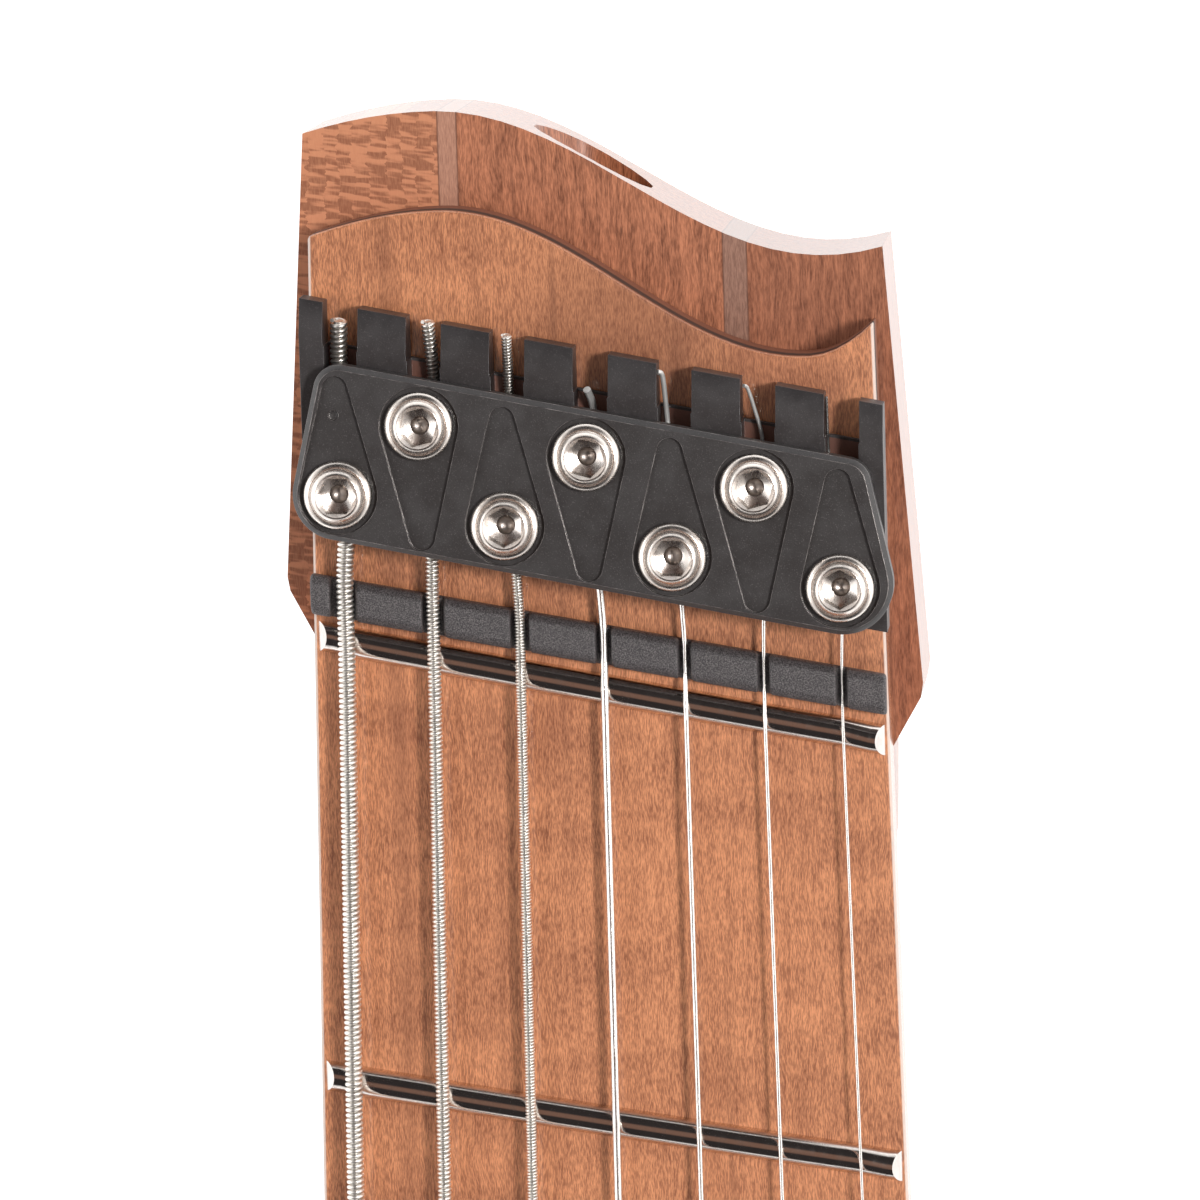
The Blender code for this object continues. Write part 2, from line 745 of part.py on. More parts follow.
def make_neck():
    heel_end, heel_slope = BOARD_END_Y, LAST_FRET_SLOPE
    heel_front = heel_end + HEEL_LENGTH
    twelfth_y, twelfth_slope = fan_line(distance_share(12))
    rings = []
    for mid_y, slope, depth, squareness in (
        (heel_end, heel_slope, HEEL_DEPTH, 14),
        (heel_front, heel_slope, HEEL_DEPTH, 14),
        (heel_front + 0.5 * HEEL_BLEND, 0.0, (HEEL_DEPTH + NECK_DEPTH_TWELFTH_FRET) / 2, 4),
        (heel_front + HEEL_BLEND, 0.0, NECK_DEPTH_TWELFTH_FRET, 2.5),
        (twelfth_y, 0.0, NECK_DEPTH_TWELFTH_FRET, 2.3),
        (NUT_Y - 0.045, NUT_SLOPE * 0.5, NECK_DEPTH_FIRST_FRET, 2.3),
        (NUT_Y - 0.012, NUT_SLOPE, NECK_DEPTH_FIRST_FRET, 2.5),
    ):
        left, right = board_left(mid_y), board_right(mid_y)
        rings.append(neck_ring(mid_y, slope, left, right, depth, squareness))
    head_left, head_right = board_left(NUT_Y) - 0.004, board_right(NUT_Y) + 0.004
    rings.append(neck_ring(NUT_Y + 0.004, NUT_SLOPE, head_left, head_right, HEAD_DEPTH, 14))
    rings.append(neck_ring(NUT_Y + 0.07, NUT_SLOPE, head_left, head_right, HEAD_DEPTH, 14))
    neck = overlap(loft(rings), prism(head_outline(), 0.0, BOARD_TOP))
    half = TRUSS_CHANNEL_WIDTH / 2
    start = BOARD_END_Y + TRUSS_START
    depths = (NECK_TOP - TRUSS_CHANNEL_DEPTH, NECK_TOP + CUT_PAST)
    channel = box((-half, half), (start, truss_nut_y()), depths)
    bore_z = BOARD_TOP - TRUSS_ACCESS_DROP
    bore_start = truss_nut_y() - TRUSS_NUT_BACK - TRUSS_NUT_LENGTH
    bore = cylinder(TRUSS_ACCESS_RADIUS, bore_start, NUT_Y + 0.08, (0, 0, bore_z), "Y", 16)
    holes = []
    for x, y in neck_bolt_places():
        top = HEEL_BOTTOM + NECK_BOLT_BITE + GAP
        holes.append(cylinder(NECK_BOLT_RADIUS + SCREW_FIT, 0.0, top, (x, y, 0), sides=8))
    return cut(neck, channel, bore, *holes)


def make_truss_rod():
    """A two-way rod in its channel, with the threaded end that carries the nut."""
    half = TRUSS_ROD_WIDTH / 2
    bottom = NECK_TOP - TRUSS_CHANNEL_DEPTH + GAP
    start = BOARD_END_Y + TRUSS_START + GAP
    end = truss_nut_y() - TRUSS_NUT_BACK - TRUSS_NUT_LENGTH - GAP
    bar = box((-half, half), (start, end), (bottom, bottom + TRUSS_ROD_DEPTH))
    bore_z = BOARD_TOP - TRUSS_ACCESS_DROP
    stub = cylinder(
        TRUSS_ROD_THREAD_RADIUS, end - 0.003, end + 0.6 * TRUSS_NUT_LENGTH, (0, 0, bore_z), "Y", 10
    )
    return joined(bar, stub)


def make_truss_nut():
    """A barrel nut with a hexagon socket in its outer end, threaded on the rod."""
    back = truss_nut_y() - TRUSS_NUT_BACK - TRUSS_NUT_LENGTH
    place = (0, back, BOARD_TOP - TRUSS_ACCESS_DROP)
    barrel = cylinder(TRUSS_NUT_RADIUS, GAP, TRUSS_NUT_LENGTH, place, "Y", 12)
    thread = cylinder(TRUSS_ROD_THREAD_RADIUS + GAP, -0.001, 0.65 * TRUSS_NUT_LENGTH, place, "Y", 10)
    socket = cylinder(
        TRUSS_NUT_SOCKET, 0.72 * TRUSS_NUT_LENGTH, TRUSS_NUT_LENGTH + 0.001, place, "Y", 6
    )
    return cut(barrel, thread, socket), place


def guide_y(x, v):
    return NUT_Y + GUIDE_SLANT * x + v


def make_guide_nut():
    """The slotted string guide between the lock and the zero fret."""
    bottom, top = BOARD_TOP + GAP, BOARD_TOP + GUIDE_HEIGHT
    lip = GUIDE_LIP
    profile = [(GUIDE_NEAR, bottom), (GUIDE_FAR, bottom), (GUIDE_FAR, top - lip)]
    profile += [(GUIDE_FAR - lip, top), (GUIDE_NEAR + lip, top), (GUIDE_NEAR, top - lip)]
    profile = [(NUT_Y + v, z) for v, z in profile]
    left, right = across_board(NUT_Y + GUIDE_FAR, GUIDE_SLANT)
    guide = slanted_prism(profile, GUIDE_SLANT, left, right)
    slots = []
    for x, gauge in zip(nut_string_x(), STRING_GAUGES):
        half = gauge / 2 + GAP
        floor = BOARD_TOP + GUIDE_STRING_HEIGHT - GAP
        ends = (guide_y(x, 0.0), guide_y(x, GUIDE_FAR + CUT_PAST))
        slots.append(box((x - half, x + half), ends, (floor, top + CUT_PAST)))
    return cut(guide, merged(slots))


# String lock


def lock_string_x(index):
    return LOCK_CENTRE_X + (index - (STRINGS - 1) / 2) * LOCK_PITCH


def lock_y(x, v):
    return NUT_Y + LOCK_SLANT * x + v


def make_lock_base():
    """A comb: a post each side of every string, fingers behind and a thin floor between."""
    left, right = LOCK_CENTRE_X - LOCK_HALF, LOCK_CENTRE_X + LOCK_HALF
    notch = LOCK_GROOVE / 2 + 0.0001
    plan = [(left, LOCK_NEAR), (right, LOCK_NEAR), (right, LOCK_FAR)]
    for index in reversed(range(STRINGS)):
        x = lock_string_x(index)
        plan += [(x + notch, LOCK_FAR), (x + notch, LOCK_FLOOR_END)]
        plan += [(x - notch, LOCK_FLOOR_END), (x - notch, LOCK_FAR)]
    plan.append((left, LOCK_FAR))
    bottom, top = BOARD_TOP + GAP, BOARD_TOP + LOCK_HEIGHT
    comb = prism([(x, lock_y(x, v)) for x, v in plan], bottom, top)
    grooves = []
    for index in range(STRINGS):
        x, half = lock_string_x(index), LOCK_GROOVE / 2
        y = lock_y(x, 0)
        floor = BOARD_TOP + LOCK_FLOOR_HEIGHT
        ends = (y + LOCK_NEAR - 2 * CUT_PAST, y + LOCK_FAR + 2 * CUT_PAST)
        grooves.append(box((x - half, x + half), ends, (floor, top + CUT_PAST)))
    slope_start, slope_end = NUT_Y + LOCK_FAR - LOCK_SLOPE_LENGTH, NUT_Y + LOCK_FAR + LOCK_SLOPE_LENGTH
    wedge = [(slope_start, top), (slope_end, top - 2 * LOCK_SLOPE_DROP)]
    wedge += [(slope_end, top + CUT_PAST), (slope_start, top + CUT_PAST)]
    wedge_cut = slanted_prism(wedge, LOCK_SLANT, left - CUT_PAST, right + CUT_PAST)
    return cut(comb, merged(grooves), wedge_cut)


def clamp_screw_places():
    """One screw over each string, in two rows that take turns."""
    places = []
    for index in range(STRINGS):
        x = lock_string_x(index) + CLAMP_SHIFT_X
        row = SCREW_ROW_NEAR if index % 2 == 0 else SCREW_ROW_FAR
        places.append((x, lock_y(x, row)))
    return places


def make_clamp_plate():
    bottom = BOARD_TOP + LOCK_HEIGHT + GAP
    top = bottom + PLATE_THICKNESS
    places = clamp_screw_places()
    first, last = places[0], places[-1]
    last_end = (last[0] + PLATE_END_SHIFT[0], last[1] + PLATE_END_SHIFT[1])
    rounds = [(first, PLATE_END_BASS), (last_end, PLATE_END_TREBLE)]
    for x in (first[0] + PLATE_CORNER_BASS, last[0] + PLATE_CORNER_TREBLE):
        corner = (x, lock_y(x, PLATE_FAR) - PLATE_CORNER_RADIUS * math.hypot(1, LOCK_SLANT))
        rounds.append((corner, PLATE_CORNER_RADIUS))
    ring = [point for centre, radius in rounds for point in arc(centre, radius, 0, 337.5, 15)]
    outline = hull(ring)
    shape = bmesh.new()
    shape.from_mesh(prism(outline, bottom, top))
    rim = [edge for edge in shape.edges if all(vert.co.z > top - 1e-5 for vert in edge.verts)]
    bmesh.ops.bevel(shape, geom=rim, offset=PLATE_BEVEL, segments=1, affect="EDGES")
    plate = bpy.data.meshes.new("plate")
    shape.to_mesh(plate)
    shape.free()
    pockets = []
    for index, (x, y) in enumerate(places):
        if index % 2 == 0:
            end = lock_y(x, PLATE_FAR - POCKET_END_MARGIN)
        else:
            end = lock_y(x, PLATE_NEAR + POCKET_END_MARGIN - PLATE_BEVEL)
        ring = arc((x, y), POCKET_WIDE, 0, 330, 11) + arc((x, end), POCKET_NARROW, 0, 315, 7)
        pockets.append(prism(hull(ring), top - POCKET_DEPTH, top + CUT_PAST))
    hole_radius, low, high = CLAMP_SHANK_RADIUS + GAP, bottom - CUT_PAST, top + CUT_PAST
    holes = [cylinder(hole_radius, low, high, (x, y, 0), sides=8) for x, y in places]
    return cut(plate, merged(pockets), merged(holes))


def clamp_screw(place, gauge):
    """A button head with a hexagon socket; its point comes down on the string in the groove."""
    plate_bottom = BOARD_TOP + LOCK_HEIGHT + GAP
    seat = plate_bottom + PLATE_THICKNESS - POCKET_DEPTH + GAP
    tip = BOARD_TOP + LOCK_FLOOR_HEIGHT + GAP + gauge + GAP
    radius, height = CLAMP_HEAD_RADIUS, CLAMP_HEAD_HEIGHT
    profile = [(CLAMP_POINT_RADIUS, tip), (CLAMP_POINT_RADIUS, plate_bottom)]
    profile += [(CLAMP_SHANK_RADIUS, plate_bottom), (CLAMP_SHANK_RADIUS, seat), (radius, seat)]
    profile += [(radius, seat + 0.45 * height), (0.72 * radius, seat + height)]
    head = turned(profile, 12, (place[0], place[1], 0))
    top = seat + height
    socket = cylinder(CLAMP_SOCKET, top - CLAMP_SOCKET_DEPTH, top + 0.001, (place[0], place[1], 0), sides=6)
    return cut(head, socket)


# Strings


def string_route(index):
    """From the loose tail behind the lock to the ball end in the puller."""
    radius = STRING_GAUGES[index] / 2
    lock_x, nut_x, bridge_x = lock_string_x(index), nut_string_x()[index], bridge_string_x(index)
    in_lock = BOARD_TOP + LOCK_FLOOR_HEIGHT + GAP + radius
    in_guide = BOARD_TOP + GUIDE_STRING_HEIGHT + radius
    saddle_y = saddle_contact_y(index)
    anchor = BASE_BOTTOM + ANCHOR_HEIGHT
    ball_y = bridge_line_y(bridge_x) + PULLER_BACK + PULLER_BALL
    return [
        (lock_x, lock_y(lock_x, PLATE_FAR + STRING_TAILS[index]), in_lock + 0.0006),
        (lock_x, lock_y(lock_x, PLATE_FAR), in_lock),
        (lock_x, lock_y(lock_x, LOCK_NEAR), in_lock),
        (nut_x, guide_y(nut_x, GUIDE_FAR), in_guide),
        (nut_x, guide_y(nut_x, GUIDE_NEAR), in_guide),
        (nut_x, NUT_Y + NUT_SLOPE * nut_x, string_low_at_zero_fret(nut_x) + radius),
        (bridge_x, saddle_y + 0.0008, string_low_at_saddle(bridge_x) + radius),
        (bridge_x, saddle_y - 0.0008, string_low_at_saddle(bridge_x) + radius),
        (bridge_x, bridge_line_y(bridge_x) + PULLER_FRONT - 0.0004, anchor),
        (bridge_x, ball_y, anchor),
    ]


def saddle_contact_y(index):
    compensation = COMPENSATION_PER_GAUGE * STRING_GAUGES[index]
    return bridge_line_y(bridge_string_x(index)) - compensation


def make_string(index):
    route = string_route(index)
    wire = tube(route, STRING_GAUGES[index] / 2, STRING_SIDES)
    ball = cylinder(BALL_RADIUS, -BALL_LENGTH / 2, BALL_LENGTH / 2, route[-1], "X", 8)
    return joined(wire, ball)


# Bridge units


def unit_place(index):
    x = bridge_string_x(index)
    return x, bridge_line_y(x)


def rod_z():
    return BASE_BOTTOM + ROD_HEIGHT


def make_bridge_base():
    """One base for all strings: a slanted front tab, a trough for each unit and a stepped end wall."""
    half = BRIDGE_PITCH / 2
    left, right = unit_place(0)[0] - half, unit_place(STRINGS - 1)[0] + half
    plan = [(right, bridge_line_y(right) + BASE_TAB_FRONT), (left, bridge_line_y(left) + BASE_TAB_FRONT)]
    for index in range(STRINGS):
        x, y = unit_place(index)
        plan += [(x - half, y + BASE_BACK), (x + half, y + BASE_BACK)]
    base = prism(plan, BASE_BOTTOM, BASE_TOP)
    nose = [(BASE_FRONT, BASE_DECK), (BASE_TAB_FRONT + 0.002, BASE_DECK)]
    nose += [(BASE_TAB_FRONT + 0.002, BASE_TOP + 0.002), (BASE_FRONT - BASE_NOSE, BASE_TOP + 0.002)]
    nose = [(BRIDGE_Y + v, z) for v, z in nose]
    tools = [slanted_prism(nose, BRIDGE_SLOPE, left - 0.002, right + 0.002)]
    troughs, bores = [], []
    for index in range(STRINGS):
        x, y = unit_place(index)
        half = TROUGH_WIDTH / 2
        ends = (y + BASE_BACK + BASE_END_WALL, y + BASE_FRONT + 0.003)
        troughs.append(box((x - half, x + half), ends, (BASE_DECK - 0.0002, BASE_TOP + 0.001)))
        start, end = BASE_BACK - 0.001, BASE_BACK + BASE_END_WALL + 0.001
        bores.append(cylinder(ROD_RADIUS + ROD_CLEARANCE, start, end, (x, y, rod_z()), "Y", 10))
    return cut(base, *tools, merged(troughs), merged(bores))


def make_saddle(index):
    """A block with a rounded crest, grooved for its string and sloped behind it."""
    gauge, x = STRING_GAUGES[index], bridge_string_x(index)
    crest = string_low_at_saddle(x) - GAP + SADDLE_GROOVE
    bottom = BASE_DECK + GAP
    side = [(SADDLE_FRONT, bottom), (SADDLE_FRONT, crest - SADDLE_FRONT_DROP)]
    side += [(0.0016, crest - 0.0004), (0.0008, crest), (-0.0006, crest), (-0.0010, crest - 0.0006)]
    side += [(SADDLE_BACK, crest - SADDLE_BACK_DROP), (SADDLE_BACK, bottom)]
    half = SLIDER_WIDTH / 2
    block = loft([[(across, v, z) for v, z in side] for across in (-half, half)])
    groove_half = gauge / 2 + GAP
    ends = (SADDLE_BACK - CUT_PAST, SADDLE_FRONT + CUT_PAST)
    groove = box((-groove_half, groove_half), ends, (crest - SADDLE_GROOVE, crest + CUT_PAST))
    return cut(block, groove)


def make_puller(index):
    """The carriage that holds the ball end, with its threaded rod."""
    half = SLIDER_WIDTH / 2
    bottom, top = BASE_DECK + GAP, BASE_BOTTOM + PULLER_TOP
    side = [(PULLER_BACK, bottom), (PULLER_FRONT, bottom), (PULLER_FRONT, top - PULLER_CHAMFER)]
    side += [(PULLER_FRONT - PULLER_CHAMFER, top), (PULLER_BACK, top)]
    block = loft([[(x, v, z) for v, z in side] for x in (-half, half)])
    rod = cylinder(ROD_RADIUS, ROD_END, PULLER_BACK + 0.001, (0, 0, rod_z()), "Y", 10)
    ball_v = PULLER_BACK + PULLER_BALL
    anchor = BASE_BOTTOM + ANCHOR_HEIGHT
    across, along = BALL_LENGTH / 2 + GAP, BALL_RADIUS + GAP
    floor = anchor - BALL_RADIUS - GAP
    pocket = box((-across, across), (ball_v - along, ball_v + along), (floor, top + CUT_PAST))
    slot_half = STRING_GAUGES[index] / 2 + GAP
    ends = (ball_v, PULLER_FRONT + CUT_PAST)
    slot = box((-slot_half, slot_half), ends, (anchor - slot_half, top + 1.1 * CUT_PAST))
    return cut(joined(block, rod), joined(pocket, slot))


def make_tuner_knob():
    """A waisted knob, threaded on the rod and bearing on the end wall."""
    back = KNOB_FRONT - KNOB_LENGTH
    bore = ROD_RADIUS + ROD_CLEARANCE
    profile = [(bore, back + KNOB_CAP), (bore, KNOB_FRONT), (0.72 * KNOB_RADIUS, KNOB_FRONT)]
    profile += [(KNOB_RADIUS, KNOB_FRONT - 0.0025), (KNOB_RADIUS, back + 0.0012)]
    profile += [(KNOB_RADIUS - 0.0010, back)]
    return turned(profile, 12, (0, 0, rod_z()), "Y")


# Body


def shoulder_corners():
    return (-SHOULDER_HALF, SHOULDER_BASS_Y), (SHOULDER_HALF, SHOULDER_TREBLE_Y)


def tail_corner(side):
    x = side * TAIL_NOTCH_HALF
    return x, bridge_line_y(x) - TAIL_SETBACK


def in_body_units(points):
    return [(x * BODY_UNIT, y * BODY_UNIT) for x, y in points]


def body_outline():
    """Two offset horns, a waist and a notch behind the bridge, with its bends in body units."""
    bass = [(-64, -69), TAIL_TIP, (-122, -63), (-147, -30), (-152, 12), (-138, 62), (-114, 112)]
    bass += [(-106, 160), (-116, 212), (-125, 262), (-119, 310), HORN_TIP, (-86, 322), (-72, 290)]
    bass += [(-57, 259)]
    treble = [(52, 220), (67, 236), (82, 258.5), (98.5, 265), (109.5, 248), (112, 210), (105, 165)]
    treble += [(101, 122), (118, 72), (142, 30), (148, -5), (140, -40), (116, -66), (86, -72.5), (64, -60)]
    bass = [tail_corner(-1)] + in_body_units(bass) + [shoulder_corners()[0]]
    treble = [shoulder_corners()[1]] + in_body_units(treble) + [tail_corner(1)]
    outline = through(bass, OUTLINE_STEPS) + [bass[-1]]
    return outline + through(treble, OUTLINE_STEPS) + [treble[-1]]


def rounded_slab(outline, bottom, top, round_top):
    """A slab with one long edge rounded over."""
    shape = bmesh.new()
    shape.from_mesh(prism(outline, bottom, top))
    level = top if round_top else bottom
    rim = [edge for edge in shape.edges if all(abs(vert.co.z - level) < 1e-5 for vert in edge.verts)]
    bmesh.ops.bevel(shape, geom=rim, offset=EDGE_ROUND, segments=2, profile=0.5, affect="EDGES")
    mesh = bpy.data.meshes.new("slab")
    shape.to_mesh(mesh)
    shape.free()
    return mesh


def neck_pocket():
    end, slope = BOARD_END_Y - GAP, LAST_FRET_SLOPE
    front = SHOULDER_BASS_Y + SHOULDER_HALF
    left, right = across_board(end, slope)
    outline = [(left - GAP, end + slope * left), (right + GAP, end + slope * right)]
    outline += [(board_right(front) + GAP, front), (board_left(front) - GAP, front)]
    return prism(outline, POCKET_FLOOR, CAP_TOP + CUT_PAST)


def pickup_spots():
    """Middle and turn of each pickup; both lie along the fan."""
    spots = []
    for y in (NECK_PICKUP_Y, BRIDGE_PICKUP_Y):
        slope = fan_line(share_at(y))[1]
        spots.append(((0, y, 0), math.degrees(math.atan(slope))))
    return spots


def pickup_rout(place, turn):
    fit = 2 * ROUT_FIT
    outline = round_rectangle(PICKUP_LENGTH + fit, PICKUP_WIDTH + fit, PICKUP_CORNER, 2)
    return turned_about(prism(outline, ROUT_FLOOR, CAP_TOP + CUT_PAST), turn, place)


def cavity_outline(inset=0.0):
    corners = [(58, -46), (108, -46), (127, -22), (127, 20), (102, 80), (58, 84)]
    corners = in_body_units(corners)
    middle = Vector((sum(x for x, _ in corners), sum(y for _, y in corners))) / len(corners)
    grown = []
    for corner in corners:
        out = Vector(corner) - middle
        grown.append(tuple(middle + out * (1 - inset / out.length)))
    return rounded_corners(grown, COVER_CORNER)


def neck_bolt_places():
    middle = BOARD_END_Y + 0.5 * HEEL_LENGTH
    places = []
    for side in (-1, 1):
        for along in (-1, 1):
            places.append((side * NECK_BOLT_SPREAD, middle + along * NECK_BOLT_SPREAD))
    return places


def neck_plate_outline(fit):
    """The plan of the plate under the heel, round all four bolts."""
    middle = BOARD_END_Y + 0.5 * HEEL_LENGTH
    outline = round_rectangle(NECK_PLATE_WIDTH + 2 * fit, NECK_PLATE_LENGTH + 2 * fit, NECK_PLATE_CORNER)
    return [(x, y + middle) for x, y in outline]


def control_holes():
    """Holes through the top for the two controls and the selector."""
    holes = []
    low, high = CAVITY_CEILING - CUT_PAST, CAP_TOP + CUT_PAST
    for place in (VOLUME_PLACE, TONE_PLACE):
        holes.append(cylinder(BUSHING_RADIUS + GAP, low, high, (*place, 0), sides=10))
    holes.append(cylinder(SWITCH_BUSHING_RADIUS + GAP, low, high, (*SELECTOR_PLACE, 0), sides=12))
    return holes


def strap_button_places():
    """Where the two strap buttons stand on the edge, and the way that they point."""
    horn, tail = in_body_units([HORN_SEAT, TAIL_SEAT])
    return (horn, "Y"), (tail, "-Y")


def button_seats():
    seats = []
    for (x, y), axis in strap_button_places():
        place = (x, y, STRAP_BUTTON_HEIGHT)
        seat_radius = STRAP_BASE_RADIUS + STRAP_SEAT_MARGIN
        seats.append(cylinder(seat_radius, 0.0, STRAP_BUTTON_LENGTH, place, axis, 16))
        depth = STRAP_SCREW_LENGTH - STRAP_BUTTON_LENGTH + CUT_PAST
        seats.append(cylinder(STRAP_SCREW_RADIUS + SCREW_FIT, -depth, CUT_PAST, place, axis, 8))
    return seats


def make_body():
    body = rounded_slab(body_outline(), 0.0, BACK_THICKNESS, False)
    tools = [neck_pocket()]
    tools += [pickup_rout(place, turn) for place, turn in pickup_spots()]
    tools.append(prism(cavity_outline(COVER_LEDGE), -CUT_PAST, CAVITY_CEILING))
    tools.append(prism(cavity_outline(), -CUT_PAST, COVER_THICKNESS + GAP))
    tools += control_holes()
    tools += button_seats()
    seat = (JACK_SEAT_X, JACK_Y, JACK_HEIGHT)
    tools.append(cylinder(JACK_FLANGE_RADIUS + 2 * GAP, 0.0, 2 * JACK_FLANGE_RADIUS, seat, "X", 20))
    tools.append(cylinder(JACK_BARREL_RADIUS + GAP, -JACK_BARREL_LENGTH, CUT_PAST, seat, "X", 14))
    bolt_hole, high = NECK_BOLT_RADIUS + SCREW_FIT, POCKET_FLOOR + CUT_PAST
    for x, y in neck_bolt_places():
        tools.append(cylinder(bolt_hole, -CUT_PAST, high, (x, y, 0), sides=8))
    recess = NECK_PLATE_SINK + NECK_PLATE_THICKNESS + GAP
    tools.append(prism(neck_plate_outline(GAP), -CUT_PAST, recess))
    return cut(body, *tools)


def make_body_top():
    cap = rounded_slab(body_outline(), CAP_BOTTOM, CAP_TOP, True)
    tools = [neck_pocket()]
    tools += [pickup_rout(place, turn) for place, turn in pickup_spots()]
    tools += control_holes()
    return cut(cap, *tools)


# Pickups and controls


def make_pickup(place, turn):
    """A sealed housing with two blade poles."""
    outline = round_rectangle(PICKUP_LENGTH, PICKUP_WIDTH, PICKUP_CORNER, 3)
    bottom, top = ROUT_FLOOR + GAP, CAP_TOP + PICKUP_TOP
    shape = bmesh.new()
    shape.from_mesh(prism(outline, bottom, top))
    rim = [edge for edge in shape.edges if all(vert.co.z > top - 1e-5 for vert in edge.verts)]
    bmesh.ops.bevel(shape, geom=rim, offset=0.0012, segments=1, affect="EDGES")
    housing = bpy.data.meshes.new("housing")
    shape.to_mesh(housing)
    shape.free()
    half, reach = BLADE_THICKNESS / 2, BLADE_LENGTH / 2
    blades = []
    for side in (-1, 1):
        y = side * BLADE_OFFSET
        blades.append(box((-reach, reach), (y - half, y + half), (top - BLADE_DEPTH, top + BLADE_RISE)))
    return turned_about(joined(housing, merged(blades)), turn, place)


def pot(place):
    """A control body under the top, its bushing and the bore for the shaft."""
    top = CAVITY_CEILING - GAP
    bottom = top - POT_HEIGHT
    bush = CAP_TOP + BUSHING_RISE
    bore = SHAFT_RADIUS + GAP
    profile = [(bore, bottom + 0.002), (bore, bush), (BUSHING_RADIUS, bush)]
    profile += [(BUSHING_RADIUS, top), (POT_RADIUS, top), (POT_RADIUS, bottom)]
    return turned(profile, 12, (*place, 0))


def shaft(place):
    bottom = CAVITY_CEILING - GAP - POT_HEIGHT + 0.002 + GAP
    return cylinder(SHAFT_RADIUS, bottom, CAP_TOP + SHAFT_RISE, (*place, 0), sides=10)


def control_knob(place):
    """A straight knob with a chamfered crown and a bore for bushing and shaft."""
    bottom = CAP_TOP + CONTROL_KNOB_LIFT
    top = bottom + CONTROL_KNOB_HEIGHT
    bush_top = CAP_TOP + BUSHING_RISE + GAP
    shaft_top = CAP_TOP + SHAFT_RISE + GAP
    bore, wide = SHAFT_RADIUS + GAP, BUSHING_RADIUS + 0.0008
    profile = [(bore, shaft_top), (bore, bush_top), (wide, bush_top), (wide, bottom)]
    profile += [(CONTROL_KNOB_RADIUS, bottom), (CONTROL_KNOB_RADIUS - 0.0004, top - 0.0012)]
    profile += [(CONTROL_KNOB_RADIUS - 0.0016, top)]
    return turned(profile, 16, (*place, 0))


def make_selector_switch():
    """The switch under the top, its bushing and nut, bored for the lever."""
    x, y = SELECTOR_PLACE
    half = SWITCH_BODY / 2
    top = CAVITY_CEILING - GAP
    case = box((x - half, x + half), (y - half, y + half), (top - SWITCH_BODY_HEIGHT, top))
    nut_low, nut_top = CAP_TOP + GAP, CAP_TOP + GAP + SWITCH_NUT_HEIGHT
    profile = [(SWITCH_BUSHING_RADIUS, top - 0.002), (SWITCH_BUSHING_RADIUS, nut_low)]
    profile += [(SWITCH_NUT_RADIUS, nut_low), (SWITCH_NUT_RADIUS, nut_top - 0.0006)]
    profile += [(SWITCH_NUT_RADIUS - 0.0006, nut_top)]
    bush = turned(profile, 14, (x, y, 0))
    pivot = CAP_TOP + LEVER_PIVOT_RISE
    well = [(0.0031, pivot - 0.0050), (0.0031, pivot + 0.0010), (0.0050, nut_top), (0.0054, nut_top + 0.001)]
    return cut(joined(case, bush), turned(well, 12, (x, y, 0)))


def make_selector_lever():
    x, y = SELECTOR_PLACE
    pivot = CAP_TOP + LEVER_PIVOT_RISE
    profile = [(0.0012, -0.0036), (0.0012, -0.0018), (0.0026, 0.0), (0.0014, 0.0019)]
    profile += [(LEVER_TIP_RADIUS - 0.0006, LEVER_RISE - 0.0050), (LEVER_TIP_RADIUS, LEVER_RISE - 0.0015)]
    profile += [(LEVER_TIP_RADIUS * 0.5, LEVER_RISE)]
    return turned(profile, 10, (x, y, pivot)), (x, y, pivot)


def make_output_jack():
    """A barrel socket through the side, with its flange in a flat seat."""
    seat = GAP
    end = seat + JACK_FLANGE
    back = seat - JACK_BARREL_LENGTH
    bore = JACK_BORE_RADIUS
    profile = [(bore, back + 0.0015), (bore, end), (JACK_FLANGE_RADIUS - 0.0005, end)]
    profile += [(JACK_FLANGE_RADIUS, end - 0.0005), (JACK_FLANGE_RADIUS, seat)]
    profile += [(JACK_BARREL_RADIUS, seat), (JACK_BARREL_RADIUS, back)]
    return turned(profile, 16, (JACK_SEAT_X, JACK_Y, JACK_HEIGHT), "X")


def make_rear_cover():
    return prism(cavity_outline(GAP), 0.0, COVER_THICKNESS)


def make_strap_button(x, y, axis):
    """A waisted button on its wood screw, whose head lies sunk in the top."""
    length, shank = STRAP_BUTTON_LENGTH, STRAP_SCREW_RADIUS
    tip = length - STRAP_SCREW_LENGTH
    profile = [(0.4 * shank, tip), (shank, tip + 0.003), (shank, GAP)]
    profile += [(STRAP_BASE_RADIUS, GAP), (STRAP_WAIST_RADIUS, 0.35 * length)]
    profile += [(STRAP_WAIST_RADIUS, 0.6 * length), (STRAP_HEAD_RADIUS, length - 0.0012)]
    profile += [(STRAP_HEAD_RADIUS - 0.0006, length), (STRAP_SCREW_HEAD, length)]
    profile += [(STRAP_SCREW_HEAD - 0.0006, length - 0.0005)]
    return turned(profile, 16, (x, y, STRAP_BUTTON_HEIGHT), axis)


# Neck fastening


def make_neck_plate():
    """A plate sunk in the back, with the four bolts that draw the heel into its pocket."""
    low = NECK_PLATE_SINK
    plate = prism(neck_plate_outline(0.0), low, low + NECK_PLATE_THICKNESS)
    tip = HEEL_BOTTOM + NECK_BOLT_BITE
    middle = low + 0.5 * NECK_PLATE_THICKNESS
    bolts = [cylinder(NECK_BOLT_RADIUS, middle, tip, (x, y, 0), sides=8) for x, y in neck_bolt_places()]
    return joined(plate, merged(bolts))


# Assembly


